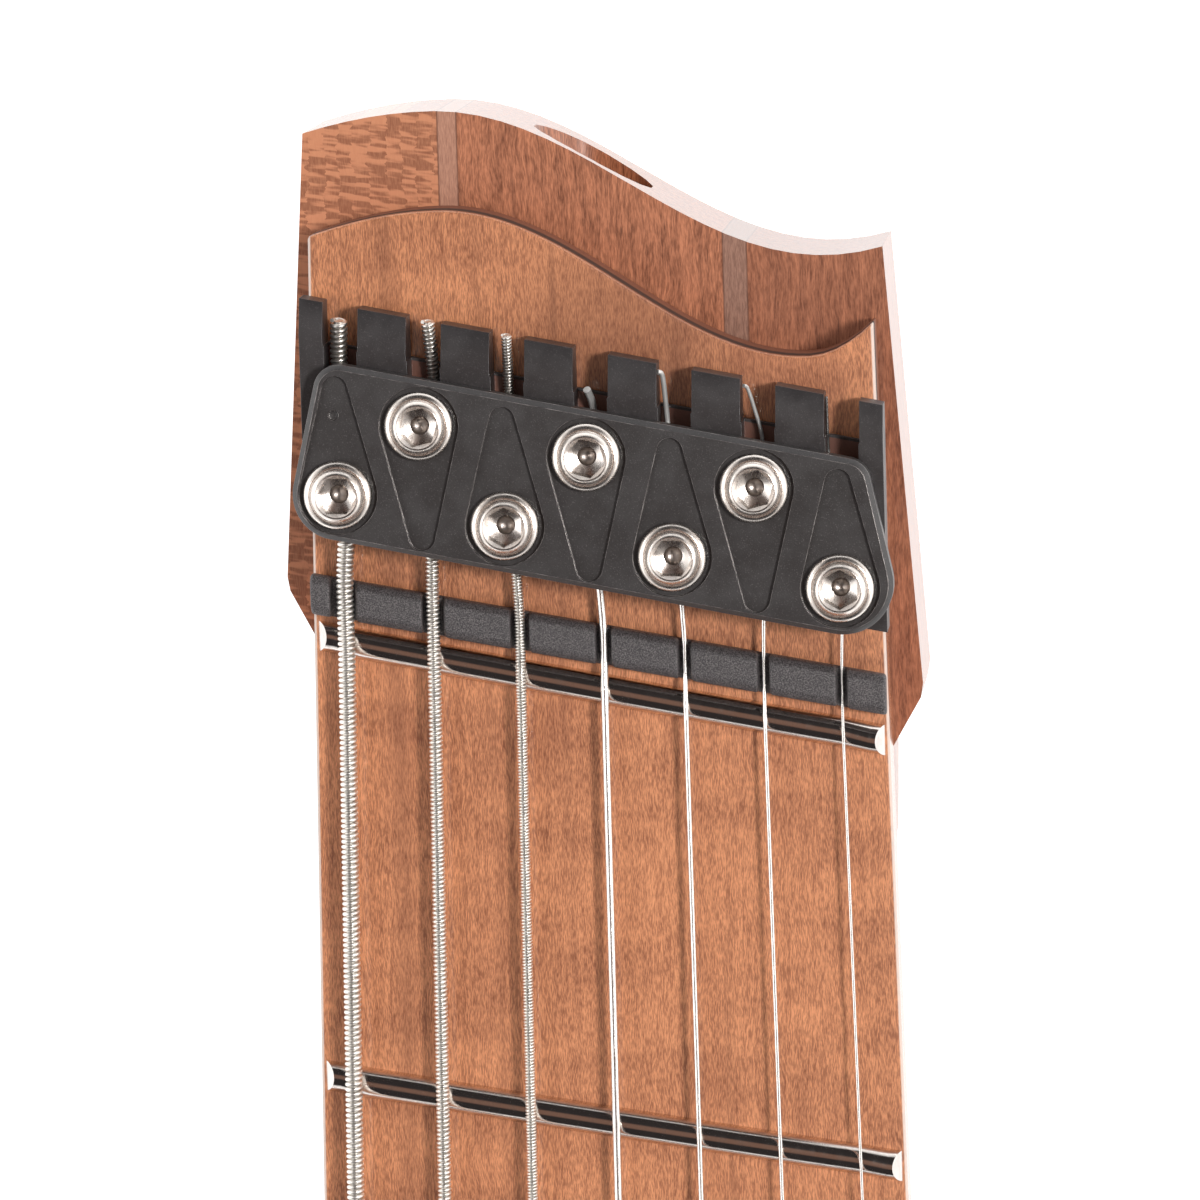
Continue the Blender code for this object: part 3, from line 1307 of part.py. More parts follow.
def add_neck_assembly():
    add("neck", make_neck(), "roasted_maple")
    add("fretboard", make_fretboard(), "roasted_board")
    add("truss_rod", make_truss_rod(), "stainless")
    nut_mesh, nut_place = make_truss_nut()
    add("truss_nut", nut_mesh, "stainless", nut_place)
    add("string_guide_nut", make_guide_nut(), "black_graphite")
    add("lock_base", make_lock_base(), "black_anodised")
    add("clamp_plate", make_clamp_plate(), "black_anodised")
    for index, place in enumerate(clamp_screw_places()):
        screw = clamp_screw(place, STRING_GAUGES[index])
        add("clamp_screw_" + str(index + 1), screw, "stainless", (*place, BOARD_TOP))


def add_body_assembly():
    add("body", make_body(), "body_wood")
    add("body_top", make_body_top(), "figured_cap")
    add("neck_plate", make_neck_plate(), "black_anodised")
    for name, (place, axis) in zip(("horn", "tail"), strap_button_places()):
        add("strap_button_" + name, make_strap_button(*place, axis), "black_anodised")
    add("rear_cover", make_rear_cover(), "black_plastic")


def add_electronics():
    spots = pickup_spots()
    add("neck_pickup", make_pickup(*spots[0]), "black_plastic")
    add("bridge_pickup", make_pickup(*spots[1]), "black_plastic")
    for name, place in (("volume", VOLUME_PLACE), ("tone", TONE_PLACE)):
        axis = (*place, CAP_TOP)
        add(name + "_pot", pot(place), "stainless")
        add(name + "_shaft", shaft(place), "brass", axis)
        add(name + "_knob", control_knob(place), "black_anodised", axis)
    add("selector_switch", make_selector_switch(), "black_anodised")
    lever, pivot = make_selector_lever()
    add("selector_lever", lever, "black_anodised", pivot)
    add("output_jack", make_output_jack(), "black_anodised")


def add_bridge():
    knob = make_tuner_knob()
    add("bridge_base", make_bridge_base(), "black_anodised")
    for index in range(STRINGS):
        number = str(index + 1)
        x, y = unit_place(index)
        contact = (x, saddle_contact_y(index), 0)
        add("saddle_" + number, moved(make_saddle(index), contact), "black_anodised", contact)
        rod = (x, y + PULLER_BACK, rod_z())
        add("puller_" + number, moved(make_puller(index), (x, y, 0)), "black_anodised", rod)
        hub = (x, y + KNOB_FRONT, rod_z())
        add("tuner_knob_" + number, moved(knob, (x, y, 0)), "black_anodised", hub)
        add("string_" + number, make_string(index), "string_steel")


clear_scene()
add_neck_assembly()
add_body_assembly()
add_electronics()
add_bridge()
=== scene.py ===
# %% [markdown]
# # A headless seven-string guitar
# The photograph looks down on the head end of this guitar: roasted maple, a black string lock
# with polished screws, a graphite string guide, fanned frets and seven strings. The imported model
# gives every solid its place. This notebook dresses it: each cell adds one piece or one finish.

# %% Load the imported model
import json
import math

import bmesh
import bpy
from mathutils import Matrix, Vector

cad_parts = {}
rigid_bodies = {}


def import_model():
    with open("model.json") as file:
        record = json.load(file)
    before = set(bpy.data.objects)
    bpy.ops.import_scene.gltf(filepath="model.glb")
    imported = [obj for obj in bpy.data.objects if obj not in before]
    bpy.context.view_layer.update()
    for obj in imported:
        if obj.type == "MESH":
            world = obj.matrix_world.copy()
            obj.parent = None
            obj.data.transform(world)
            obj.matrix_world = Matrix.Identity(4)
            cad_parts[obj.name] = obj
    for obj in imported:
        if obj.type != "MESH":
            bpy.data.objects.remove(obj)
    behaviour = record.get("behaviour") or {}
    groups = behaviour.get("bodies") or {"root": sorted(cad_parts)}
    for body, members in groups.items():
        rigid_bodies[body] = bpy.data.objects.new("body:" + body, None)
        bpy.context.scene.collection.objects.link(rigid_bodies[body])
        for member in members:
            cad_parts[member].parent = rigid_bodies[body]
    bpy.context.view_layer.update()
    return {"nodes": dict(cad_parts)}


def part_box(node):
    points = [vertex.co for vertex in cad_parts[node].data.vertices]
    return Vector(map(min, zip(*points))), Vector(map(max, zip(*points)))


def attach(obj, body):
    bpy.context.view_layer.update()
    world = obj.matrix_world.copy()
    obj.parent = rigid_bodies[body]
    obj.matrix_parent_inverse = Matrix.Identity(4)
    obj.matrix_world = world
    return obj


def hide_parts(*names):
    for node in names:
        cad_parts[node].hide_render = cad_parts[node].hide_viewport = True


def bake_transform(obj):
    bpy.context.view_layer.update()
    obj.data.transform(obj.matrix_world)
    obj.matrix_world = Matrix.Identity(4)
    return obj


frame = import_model()
bpy.context.scene.view_settings.view_transform = "Standard"

# %% [markdown]
# ## The camera
# The photograph was taken with a long lens from above the head, a little to the treble side. Its
# place was found by matching the frets, the screws and the edges of the head with the photograph.

# %% Camera
EYE = Vector((0.05621, 0.74637, 0.6781))
LOOK = Vector((-0.0877, -0.129, -0.9878)).normalized()
UPWARD = Vector((0.0172, 0.9912, -0.131))
LENS, SENSOR = 227.7, 36


def looking(look, upward, place):
    """The matrix of a camera or lamp at a place, facing along look."""
    back = -look
    right = upward.cross(back).normalized()
    matrix = Matrix((right, back.cross(right), back)).transposed().to_4x4()
    matrix.translation = place
    return matrix


camera = bpy.data.objects.new("camera", bpy.data.cameras.new("camera"))
camera.data.lens, camera.data.sensor_width = LENS, SENSOR
camera.data.clip_start, camera.data.clip_end = 0.05, 20
camera.matrix_world = looking(LOOK, UPWARD, EYE)
bpy.context.scene.collection.objects.link(camera)
bpy.context.scene.camera = camera
print("camera at", tuple(round(value, 3) for value in EYE))

# %% [markdown]
# ## Sums on sockets
# A material is a net of nodes. Written by hand, even a simple sum takes several lines, so a small
# class lets a socket take part in Python sums: each operator adds one Math node. A second class
# holds the tree and makes every other node from its type, its settings and its inputs, with short
# words for the nodes that come up most. Both classes serve shader trees and geometry trees.


# %% Value and Tree
class Value:
    """A socket in a tree that can be added, multiplied and so on."""

    def __init__(self, tree, socket):
        self.tree, self.socket = tree, socket

    def __add__(self, other):
        return self.tree.maths("ADD", self, other)

    def __radd__(self, other):
        return self.tree.maths("ADD", other, self)

    def __sub__(self, other):
        return self.tree.maths("SUBTRACT", self, other)

    def __rsub__(self, other):
        return self.tree.maths("SUBTRACT", other, self)

    def __mul__(self, other):
        return self.tree.maths("MULTIPLY", self, other)

    def __rmul__(self, other):
        return self.tree.maths("MULTIPLY", other, self)

    def __truediv__(self, other):
        return self.tree.maths("DIVIDE", self, other)

    def output(self, name):
        """Another output of the same node."""
        return Value(self.tree, self.socket.node.outputs[name])


class Tree:
    """A node tree with short ways to add nodes."""

    def __init__(self, tree):
        self.tree = tree

    def plug(self, socket, value):
        if isinstance(value, Value):
            self.tree.links.new(value.socket, socket)
        else:
            socket.default_value = value

    def node(self, kind, settings=None, inputs=None, output=0):
        made = self.tree.nodes.new(kind)
        for name, value in (settings or {}).items():
            setattr(made, name, value)
        for name, value in (inputs or {}).items():
            self.plug(made.inputs[name], value)
        return Value(self, made.outputs[output]) if len(made.outputs) else made

    def maths(self, operation, *values):
        return self.node("ShaderNodeMath", {"operation": operation}, dict(enumerate(values)))

    def vector(self, operation, *values):
        return self.node("ShaderNodeVectorMath", {"operation": operation}, dict(enumerate(values)))

    def point(self, x, y, z):
        """A vector from three numbers or sockets."""
        return self.node("ShaderNodeCombineXYZ", inputs={0: x, 1: y, 2: z})

    def ramp(self, value, low, high):
        """0 below low, 1 above high, smooth between."""
        settings = {"interpolation_type": "SMOOTHSTEP"}
        return self.node("ShaderNodeMapRange", settings, {0: value, 1: low, 2: high})

    def mix(self, mask, first, second):
        """The first colour where the mask is 0, the second where it is 1."""
        return self.node("ShaderNodeMix", {"data_type": "RGBA"}, {0: mask, 6: first, 7: second}, 2)


print("helpers ready")

# %% [markdown]
# ## Words for finishes
# Wood, metal and plastic all need the same few moves: stretch the object's own coordinates, put
# noise on them, turn it into a mask, and mix two colours. These are written once here.


# %% The Finish class
def paint(red, green, blue):
    """A colour as it looks on screen, from 0 to 255, turned into light."""
    shares = [value / 255 for value in (red, green, blue)]
    return (*[s / 12.92 if s <= 0.04045 else ((s + 0.055) / 1.055) ** 2.4 for s in shares], 1.0)


class Finish(Tree):
    """A material under construction."""

    def __init__(self, name):
        self.material = bpy.data.materials.new(name)
        self.material.use_nodes = True
        super().__init__(self.material.node_tree)
        self.tree.nodes.clear()
        self.place = self.node("ShaderNodeTexCoord", output="Object")
        apart = self.node("ShaderNodeSeparateXYZ", inputs={0: self.place})
        self.x, self.y, self.z = (apart.output(axis) for axis in "XYZ")

    def stretched(self, across, along, up):
        """The place with more or fewer steps to the metre along each axis."""
        return self.vector("MULTIPLY", self.place, (across, along, up))

    def even(self, steps):
        return self.stretched(steps, steps, steps)

    def noise(self, vector, detail=2.0, roughness=0.5, distortion=0.0):
        inputs = {"Vector": vector, "Scale": 1.0, "Detail": detail}
        inputs.update({"Roughness": roughness, "Distortion": distortion})
        return self.node("ShaderNodeTexNoise", inputs=inputs)

    def band(self, value, low, high, soft):
        """1 between low and high, with soft edges."""
        inside = 1 - self.ramp(value, high - soft, high + soft)
        return self.ramp(value, low - soft, low + soft) * inside

    def spot(self, x, y, near, far):
        """1 close to a point of the plan, falling to 0 further out."""
        dx, dy = self.x - x, self.y - y
        return 1 - self.ramp(self.maths("SQRT", dx * dx + dy * dy), near, far)

    def bump(self, height, depth, strength):
        inputs = {"Strength": strength, "Distance": depth, "Height": height}
        return self.node("ShaderNodeBump", inputs=inputs)

    def close(self, **inputs):
        """The Principled shader; a name such as Base_Color stands for Base Color."""
        inputs = {name.replace("_", " "): value for name, value in inputs.items()}
        shader = self.node("ShaderNodeBsdfPrincipled", inputs=inputs)
        self.node("ShaderNodeOutputMaterial", inputs={"Surface": shader})
        return self.material


print("a mid grey on screen is", round(paint(128, 128, 128)[0], 3), "in light")

# %% [markdown]
# ## Lacquered maple
# Roasted maple is brown right through. The board shows short wavy flecks along the strings, a soft
# curl across them, and a few dark streaks beside the heavy strings. A pattern painted from one
# noise looks like cloth, so several are laid over each other: fine and middle fibres, the curl and
# slow clouds. The streaks and the dark patch by the wave stand where the photograph has them. The
# rounded long edges carry a painted pale highlight. The wall of the wave is cut end grain; its upper
# part is painted dark as a shadow line, its lower part in the head's tone with painted contact shade.


# %% Maple grain
def fibres(f, across, along, detail=1.5):
    """Flecks along the grain, pushed sideways here and there so that they wander."""
    sway = f.noise(f.stretched(260, 160, 260), detail=1) * 0.0009
    place = f.point((f.x + sway) * across, f.y * along, f.z * across)
    return f.noise(place, detail=detail, roughness=0.6)


# from x, to x, softness, strength
BOARD_STREAKS = (
    (-0.0174, -0.0158, 0.0008, 0.30),
    (-0.0090, -0.0082, 0.0005, 0.20),
    (0.0070, 0.0084, 0.0009, 0.18),
)
# x, y, radius of the dark middle, radius where it ends
WAVE_PATCH = (0.0030, 0.6865, 0.002, 0.0140)
# half the board's width at y = 0, its change along y, and how much further the treble edge lies
EDGE_AT_SADDLE, EDGE_LEAN, EDGE_MORE = 0.0344, -0.01634, 0.0008
EDGE_IN, EDGE_OUT, EDGE_SOFT = 0.00022, 0.0001, 0.00006
# the wall of the wave: where it starts below the top, where the painted shadow line of its upper
# part ends, and from which y; the board's top falls by CROWN_DROP times x squared
WALL_TOP, WALL_FOOT, WALL_FROM, CROWN_DROP = 0.0510, 0.0486, 0.6640, 0.984


def edge_highlight_mask(f):
    """1 along both rounded long edges of the board, where a pale highlight is painted."""
    reach = f.y * EDGE_LEAN + EDGE_AT_SADDLE
    bass = f.band(f.x + reach, -EDGE_OUT, EDGE_IN, EDGE_SOFT)
    treble = f.band(f.x - reach, EDGE_MORE - EDGE_IN, EDGE_MORE + EDGE_OUT, EDGE_SOFT)
    return (bass + treble) * f.ramp(f.z, 0.0502, 0.0506)


def board_maple():
    f = Finish("roasted_board_maple")
    fine, middle = fibres(f, 11000, 1500, 2.0), fibres(f, 2400, 260)
    curl = f.noise(f.stretched(60, 250, 60), detail=2, distortion=0.5)
    cloud = f.noise(f.stretched(80, 26, 80), detail=2, distortion=0.6)
    tone = f.ramp(fine, 0.34, 0.66) * 0.58 + f.ramp(middle, 0.3, 0.7) * 0.22
    tone = tone + f.ramp(curl, 0.32, 0.68) * 0.20
    base = f.mix(tone, paint(138, 78, 49), paint(236, 158, 109))
    base = f.mix(f.ramp(cloud, 0.52, 0.72) * 0.28, base, paint(152, 86, 55))
    streaks = f.noise(f.stretched(300, 6, 220), detail=3, roughness=0.55)
    dark = f.ramp(streaks, 0.60, 0.76) * 0.35 + f.spot(*WAVE_PATCH) * 0.42
    wander = f.x + (f.noise(f.stretched(90, 30, 90), detail=1) - 0.5) * 0.0016
    for low, high, soft, strength in BOARD_STREAKS:
        dark = dark + f.band(wander, low, high, soft) * strength
    base = f.mix(f.maths("MINIMUM", dark, 0.8), base, paint(112, 62, 38))
    # the wall of the wave is cut end grain, rougher and without coat; its upper part is painted dark as a
    # shadow line, its lower part in the head's tone with painted contact shade
    wall = 1 - f.ramp(f.z + f.x * f.x * CROWN_DROP, WALL_TOP, WALL_TOP + 0.0006)
    wall = wall * f.ramp(f.y, WALL_FROM, WALL_FROM + 0.002)
    foot = 1 - f.ramp(f.z, WALL_FOOT, WALL_FOOT + 0.001)
    base = f.mix(wall, base, f.mix(foot, paint(56, 33, 24), paint(142, 88, 64)))
    # a painted pale highlight along the rounded long edges
    base = f.mix(edge_highlight_mask(f) * 0.62, base, paint(252, 240, 228))
    return f.close(
        Base_Color=base,
        Roughness=f.ramp(fine, 0.2, 0.8) * 0.10 + 0.42 + wall * 0.2,
        Coat_Weight=1 - wall,
        Coat_Roughness=0.13,
        Normal=f.bump(fine, 0.00002, 0.4),
    )


BOARD_MAPLE = board_maple()
print("board maple has", len(BOARD_MAPLE.node_tree.nodes), "nodes")

# %% [markdown]
# ## The laminated neck
# The neck is glued up from a figured piece on the bass side, a plain middle and a plain treble
# piece, with a thin grey-brown layer in each joint. All run straight along the strings, so the x
# coordinate alone tells which piece a point is in. The figured piece is broken into short dashes:
# the noise is read column by column, each column from another place.

# %% Neck maple
BASS_LAYER = (-0.0125, -0.0109)
TREBLE_LAYER = (0.0112, 0.0132)
GLUE, SHARP = 0.00007, 0.00005


def dashed_figure(f):
    """Short dark dashes across the grain, in columns, as on the bass piece of the head."""
    warp = f.noise(f.even(300), detail=1) * 0.0016
    warp = warp + f.noise(f.stretched(900, 2600, 900), detail=1) * 0.0007
    column = f.maths("FLOOR", (f.x + warp) * 760)
    return f.noise(f.point(f.x * 330, (f.y + f.x * 0.14) * 2000, column * 7.31), detail=1.5)


def neck_maple():
    f = Finish("roasted_neck_maple")
    fine, middle = fibres(f, 9500, 1200, 2.5), fibres(f, 2200, 240)
    streaks = f.noise(f.stretched(900, 16, 700), detail=3, roughness=0.6)
    pores = f.noise(f.stretched(4600, 330, 3000), detail=1)
    in_bass = 1 - f.ramp(f.x, BASS_LAYER[0] - 0.0001, BASS_LAYER[0] + 0.0001)
    in_treble = f.ramp(f.x, TREBLE_LAYER[1] - 0.0001, TREBLE_LAYER[1] + 0.0001)
    density = f.noise(f.stretched(200, 140, 200), detail=1)
    dashes = f.ramp(dashed_figure(f) + density * 0.25, 0.54, 0.72)
    figured = f.mix(dashes * 0.80, paint(210, 138, 100), paint(134, 76, 50))
    figured = f.mix(f.ramp(fine, 0.35, 0.70) * 0.28, figured, paint(226, 156, 112))
    tone = f.ramp(fine, 0.3, 0.7) * 0.6 + f.ramp(middle, 0.3, 0.7) * 0.4
    plain = f.mix(tone, paint(118, 66, 42), paint(214, 137, 98))
    plain = f.mix(f.ramp(streaks, 0.56, 0.76) * 0.45, plain, paint(112, 64, 44))
    plain = f.mix(f.ramp(pores, 0.70, 0.80) * 0.75, plain, paint(80, 44, 30))
    shade = f.mix(in_treble * 0.26, plain, paint(112, 62, 44))
    base = f.mix(in_bass, shade, figured)
    layer = f.band(f.x, *BASS_LAYER, SHARP) + f.band(f.x, *TREBLE_LAYER, SHARP)
    grain = f.ramp(fine, 0.3, 0.7)
    in_bass_layer = f.mix(grain, paint(168, 118, 96), paint(198, 144, 118))
    in_treble_layer = f.mix(grain, paint(136, 98, 82), paint(170, 126, 106))
    base = f.mix(layer, base, f.mix(f.ramp(f.x, -0.001, 0.001), in_bass_layer, in_treble_layer))
    joints = sum(f.band(f.x, edge - GLUE, edge + GLUE, SHARP) for edge in (*BASS_LAYER, *TREBLE_LAYER))
    base = f.mix(joints * 0.55, base, paint(84, 52, 40))
    return f.close(
        Base_Color=base,
        Roughness=f.ramp(fine, 0.2, 0.8) * 0.08 + 0.34,
        Coat_Weight=0.8,
        Coat_Roughness=0.16,
        Normal=f.bump(fine, 0.00003, 0.4),
    )


NECK_MAPLE = neck_maple()
print("neck maple has", len(NECK_MAPLE.node_tree.nodes), "nodes")

# %% [markdown]
# ## Body wood
# The body is outside the photograph. It gets the same family of wood: a plain brown back and a
# thin top with a soft flame across its grain. The top is two boards opened like a book, so its
# figure is read from the distance to the middle seam and mirrors there.


# %% Body woods
def body_wood():
    f = Finish("body_back_wood")
    rings = f.noise(f.stretched(46, 3.2, 46), detail=4, roughness=0.6, distortion=0.8)
    pores = f.noise(f.stretched(2600, 120, 2600), detail=2)
    base = f.mix(f.ramp(rings, 0.3, 0.7), paint(118, 72, 48), paint(162, 104, 70))
    base = f.mix(f.ramp(pores, 0.60, 0.74) * 0.6, base, paint(78, 46, 32))
    return f.close(
        Base_Color=base,
        Roughness=f.ramp(pores, 0.5, 0.8) * 0.12 + 0.44,
        Coat_Weight=0.3,
        Coat_Roughness=0.3,
        Normal=f.bump(pores, 0.00006, 0.4),
    )


def figured_top():
    f = Finish("figured_top_maple")
    out = f.maths("ABSOLUTE", f.x)
    flame = f.noise(f.point(out * 16, f.y * 120 + out * 34, f.z * 16), detail=2, distortion=0.9)
    fine, middle = fibres(f, 4200, 600), fibres(f, 1100, 120)
    rings = f.noise(f.point(out * 120, f.y * 5, f.z * 120), detail=3, distortion=0.3)
    tone = f.ramp(flame, 0.34, 0.66) * 0.55 + f.ramp(fine, 0.3, 0.7) * 0.25
    tone = tone + f.ramp(middle, 0.3, 0.7) * 0.20
    base = f.mix(tone, paint(142, 84, 52), paint(222, 152, 106))
    base = f.mix(f.ramp(rings, 0.54, 0.74) * 0.35, base, paint(118, 68, 42))
    seam = f.band(f.x, -0.00012, 0.00012, 0.00008)
    base = f.mix(seam * 0.5, base, paint(90, 54, 38))
    return f.close(
        Base_Color=base,
        Roughness=0.38,
        Coat_Weight=0.6,
        Coat_Roughness=0.18,
        Normal=f.bump(fine, 0.00003, 0.4),
    )


BODY_WOOD, FIGURED_TOP = body_wood(), figured_top()
print("woods", len(bpy.data.materials))

# %% [markdown]
# ## Black parts
# The lock and the bridge are anodised: a matt black with a very fine tooth and a soft sheen. The
# string guide is a graphite mix with pale specks. Covers and pickups are moulded plastic. The eased
# edges of the clamp plate get a pale, partly metallic finish: a painted highlight that shows as thin
# light lines.


# %% Black finishes
def anodised(name, dark, mid, speck, painted_reflection=None):
    """Matt black; the last argument, if given, gives the mask and the colour of a painted reflection."""
    f = Finish(name)
    tooth = f.noise(f.even(9000), detail=2)
    blotches = f.noise(f.even(300), detail=4, roughness=0.7)
    base = f.mix(f.ramp(blotches, 0.35, 0.75) * 0.5, paint(*dark), paint(*mid))
    base = f.mix(f.ramp(tooth, 0.58, 0.72) * 0.6, base, paint(*speck))
    if painted_reflection:
        mask, colour = painted_reflection(f)
        base = f.mix(mask, base, colour)
    return f.close(
        Base_Color=base,
        Roughness=f.ramp(blotches, 0.3, 0.7) * 0.10 + 0.36,
        Specular_IOR_Level=0.75,
        Normal=f.bump(tooth, 0.00002, 0.45),
    )


def graphite():
    f = Finish("speckled_graphite")
    gravel = f.noise(f.even(9800), detail=2, roughness=0.7)
    mottle = f.noise(f.even(1400), detail=2)
    shine = f.ramp(gravel, 0.40, 0.66)
    base = f.mix(shine, paint(44, 41, 43), paint(118, 111, 111))
    base = f.mix(f.ramp(mottle, 0.3, 0.7) * 0.25, base, paint(58, 54, 56))
    return f.close(
        Base_Color=base,
        Roughness=0.50 - shine * 0.14,
        Specular_IOR_Level=0.6,
        Normal=f.bump(gravel, 0.00007, 0.7),
    )


def plastic():
    f = Finish("black_moulded_plastic")
    grain = f.noise(f.even(4000), detail=2)
    tone = f.ramp(grain, 0.3, 0.7)
    base = f.mix(tone, paint(30, 30, 31), paint(40, 39, 40))
    return f.close(Base_Color=base, Roughness=tone * 0.1 + 0.42, Normal=f.bump(grain, 0.00003, 0.4))


def edge_highlight_finish():
    # pale, partly metallic edges: the colour is a painted highlight
    f = Finish("worn_anodised_edge")
    blotches = f.noise(f.even(900), detail=4, roughness=0.7)
    base = f.mix(f.ramp(blotches, 0.35, 0.7), paint(100, 95, 94), paint(178, 171, 168))
    return f.close(Base_Color=base, Metallic=0.7, Roughness=f.ramp(blotches, 0.3, 0.7) * 0.1 + 0.30)


ANODISED = anodised("matt_black_anodised", (46, 43, 43), (60, 56, 56), (98, 92, 92))
GRAPHITE, PLASTIC, EDGE_HIGHLIGHT = graphite(), plastic(), edge_highlight_finish()
print("black finishes", [made.name for made in (ANODISED, GRAPHITE, PLASTIC, EDGE_HIGHLIGHT)])

# %% [markdown]
# ## Bright parts
# Screws and frets are polished steel. A little noise in the roughness keeps the reflections from
# looking like a mirror. Wound strings have a warmer wire than the plain ones.


# %% Metals
TAILS_FROM, TAILS_UP_TO = 0.668, 0.0180


def clipped_tails(f):
    """1 on the ends of the strings behind the lock, where the photograph shows them pale."""
    behind = f.ramp(f.y, TAILS_FROM, TAILS_FROM + 0.002)
    return behind * (1 - f.ramp(f.x, TAILS_UP_TO, TAILS_UP_TO + 0.0005))


def metal(name, colour, dull, rough, brushed=0.0, clipped=False):
    """Polished or brushed metal; clipped makes the strings' tails paler and rougher."""
    f = Finish(name)
    smear = f.noise(f.stretched(1400, 700, 1400), detail=3, roughness=0.65)
    base = f.mix(f.ramp(smear, 0.4, 0.8) * 0.6, paint(*colour), paint(*dull))
    scratch = f.noise(f.stretched(20000, 900, 9000), detail=1)
    metallic, rough = 1.0, f.ramp(smear, 0.25, 0.85) * 0.12 + rough
    if clipped:
        # less metal and more roughness let the pale colour of the tails show: a painted highlight
        tail = clipped_tails(f)
        metallic, rough = 1 - tail * 0.45, rough + tail * 0.1
    return f.close(
        Base_Color=base,
        Metallic=metallic,
        Roughness=rough,
        Normal=f.bump(scratch, 0.00001 + 0.00002 * brushed, 0.3),
    )


POLISHED = metal("polished_steel", (242, 234, 227), (218, 208, 200), 0.22)
FRET_STEEL = metal("fret_steel", (232, 224, 218), (206, 196, 190), 0.08)
WOUND_WIRE = metal("wound_string_wire", (246, 242, 236), (216, 210, 202), 0.32)
PLAIN_WIRE = metal("plain_string_wire", (238, 236, 233), (206, 202, 198), 0.20, clipped=True)
BRASS = metal("brass", (214, 176, 108), (180, 140, 84), 0.26, 1.0)
SATIN_STEEL = metal("satin_steel", (190, 186, 182), (160, 156, 150), 0.30, 1.0)
# a darker steel for the floor of a socket's drilled hollow: painted shade
HOLLOW_SHADE_STEEL = metal("drilled_steel", (168, 160, 155), (132, 125, 120), 0.30, 1.0)
print("finishes", len(bpy.data.materials))

# %% [markdown]
# ## Solids and refined copies
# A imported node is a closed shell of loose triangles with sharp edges. Real edges are eased, and
# that thin rounding is what catches the light. The copy's points are merged and its flat faces
# joined, so that a Bevel modifier finds only the true edges.

# %% Mesh helpers
DOUBLES, FLAT = 2e-6, math.radians(0.6)


def link(name, mesh):
    item = bpy.data.objects.new(name, mesh)
    bpy.context.scene.collection.objects.link(item)
    return item


def baked(item):
    """The object's evaluated mesh, with the object itself removed."""
    graph = bpy.context.evaluated_depsgraph_get()
    mesh = bpy.data.meshes.new_from_object(item.evaluated_get(graph))
    bpy.data.objects.remove(item)
    return mesh


def as_mesh(shape):
    """A mesh from a bmesh, which is freed."""
    mesh = bpy.data.meshes.new("shape")
    shape.to_mesh(mesh)
    shape.free()
    return mesh


def closed_mesh(shape):
    """The same, with its faces turned outwards."""
    bmesh.ops.recalc_face_normals(shape, faces=shape.faces)
    return as_mesh(shape)


def loft(rings):
    """A solid through rings of equally many points, capped at both ends."""
    shape, count = bmesh.new(), len(rings[0])
    rows = [[shape.verts.new(point) for point in ring] for ring in rings]
    for low, high in zip(rows, rows[1:]):
        for side in range(count):
            after = (side + 1) % count
            shape.faces.new((low[side], low[after], high[after], high[side]))
    shape.faces.new(rows[0])
    shape.faces.new(rows[-1])
    return closed_mesh(shape)


def prism(outline, bottom, top):
    return loft([[(x, y, z) for x, y in outline] for z in (bottom, top)])


def aim(place, axis):
    """The matrix that turns +z to an axis and moves the origin to a place."""
    tilt = Vector((0, 0, 1)).rotation_difference(Vector(axis)).to_matrix().to_4x4()
    return Matrix.Translation(place) @ tilt


def from_mm(rings, level=0.0):
    """Rings of (radius, height, mark) in mm as metres, their heights counted from a level."""
    return [(radius / 1000, level + height / 1000, *mark) for radius, height, *mark in rings]


def turned(profile, sides, place=(0, 0, 0), axis=(0, 0, 1), wave=0.0):
    """A profile of (radius, height) turned round an axis.

    A wave lowers every second side of the rings that carry a mark, for a knurl.
    """
    shape, rows = bmesh.new(), []
    for radius, height, *fluted in profile:
        if radius == 0:
            rows.append([shape.verts.new((0, 0, height))] * sides)
            continue
        row = []
        for side in range(sides):
            angle = math.tau * side / sides
            reach = radius - (wave if fluted and side % 2 else 0.0)
            row.append(shape.verts.new((reach * math.cos(angle), reach * math.sin(angle), height)))
        rows.append(row)
    for low, high in zip(rows, rows[1:]):
        for side in range(sides):
            after = (side + 1) % sides
            corners = dict.fromkeys((low[side], low[after], high[after], high[side]))
            shape.faces.new(tuple(corners))
    for row in (rows[0], rows[-1]):
        if len(set(row)) > 1:
            shape.faces.new(row)
    shape.transform(aim(place, axis))
    return closed_mesh(shape)


def cut_out(mesh, tools):
    """The mesh after every tool has been cut out of it."""
    body = link("body", mesh)
    helpers = [link("tool", tool) for tool in tools]
    for helper in helpers:
        modifier = body.modifiers.new("cut", "BOOLEAN")
        modifier.operation, modifier.solver, modifier.object = "DIFFERENCE", "EXACT", helper
    result = baked(body)
    for helper in helpers:
        bpy.data.objects.remove(helper)
    return result


def merged(meshes):
    shape = bmesh.new()
    for mesh in meshes:
        shape.from_mesh(mesh)
    return as_mesh(shape)


def copy_of(node):
    """The node's solid with its points merged and its flat faces joined."""
    shape = bmesh.new()
    shape.from_mesh(frame["nodes"][node].data)
    bmesh.ops.remove_doubles(shape, verts=shape.verts, dist=DOUBLES)
    bmesh.ops.dissolve_limit(shape, angle_limit=FLAT, verts=shape.verts, edges=shape.edges)
    return as_mesh(shape)


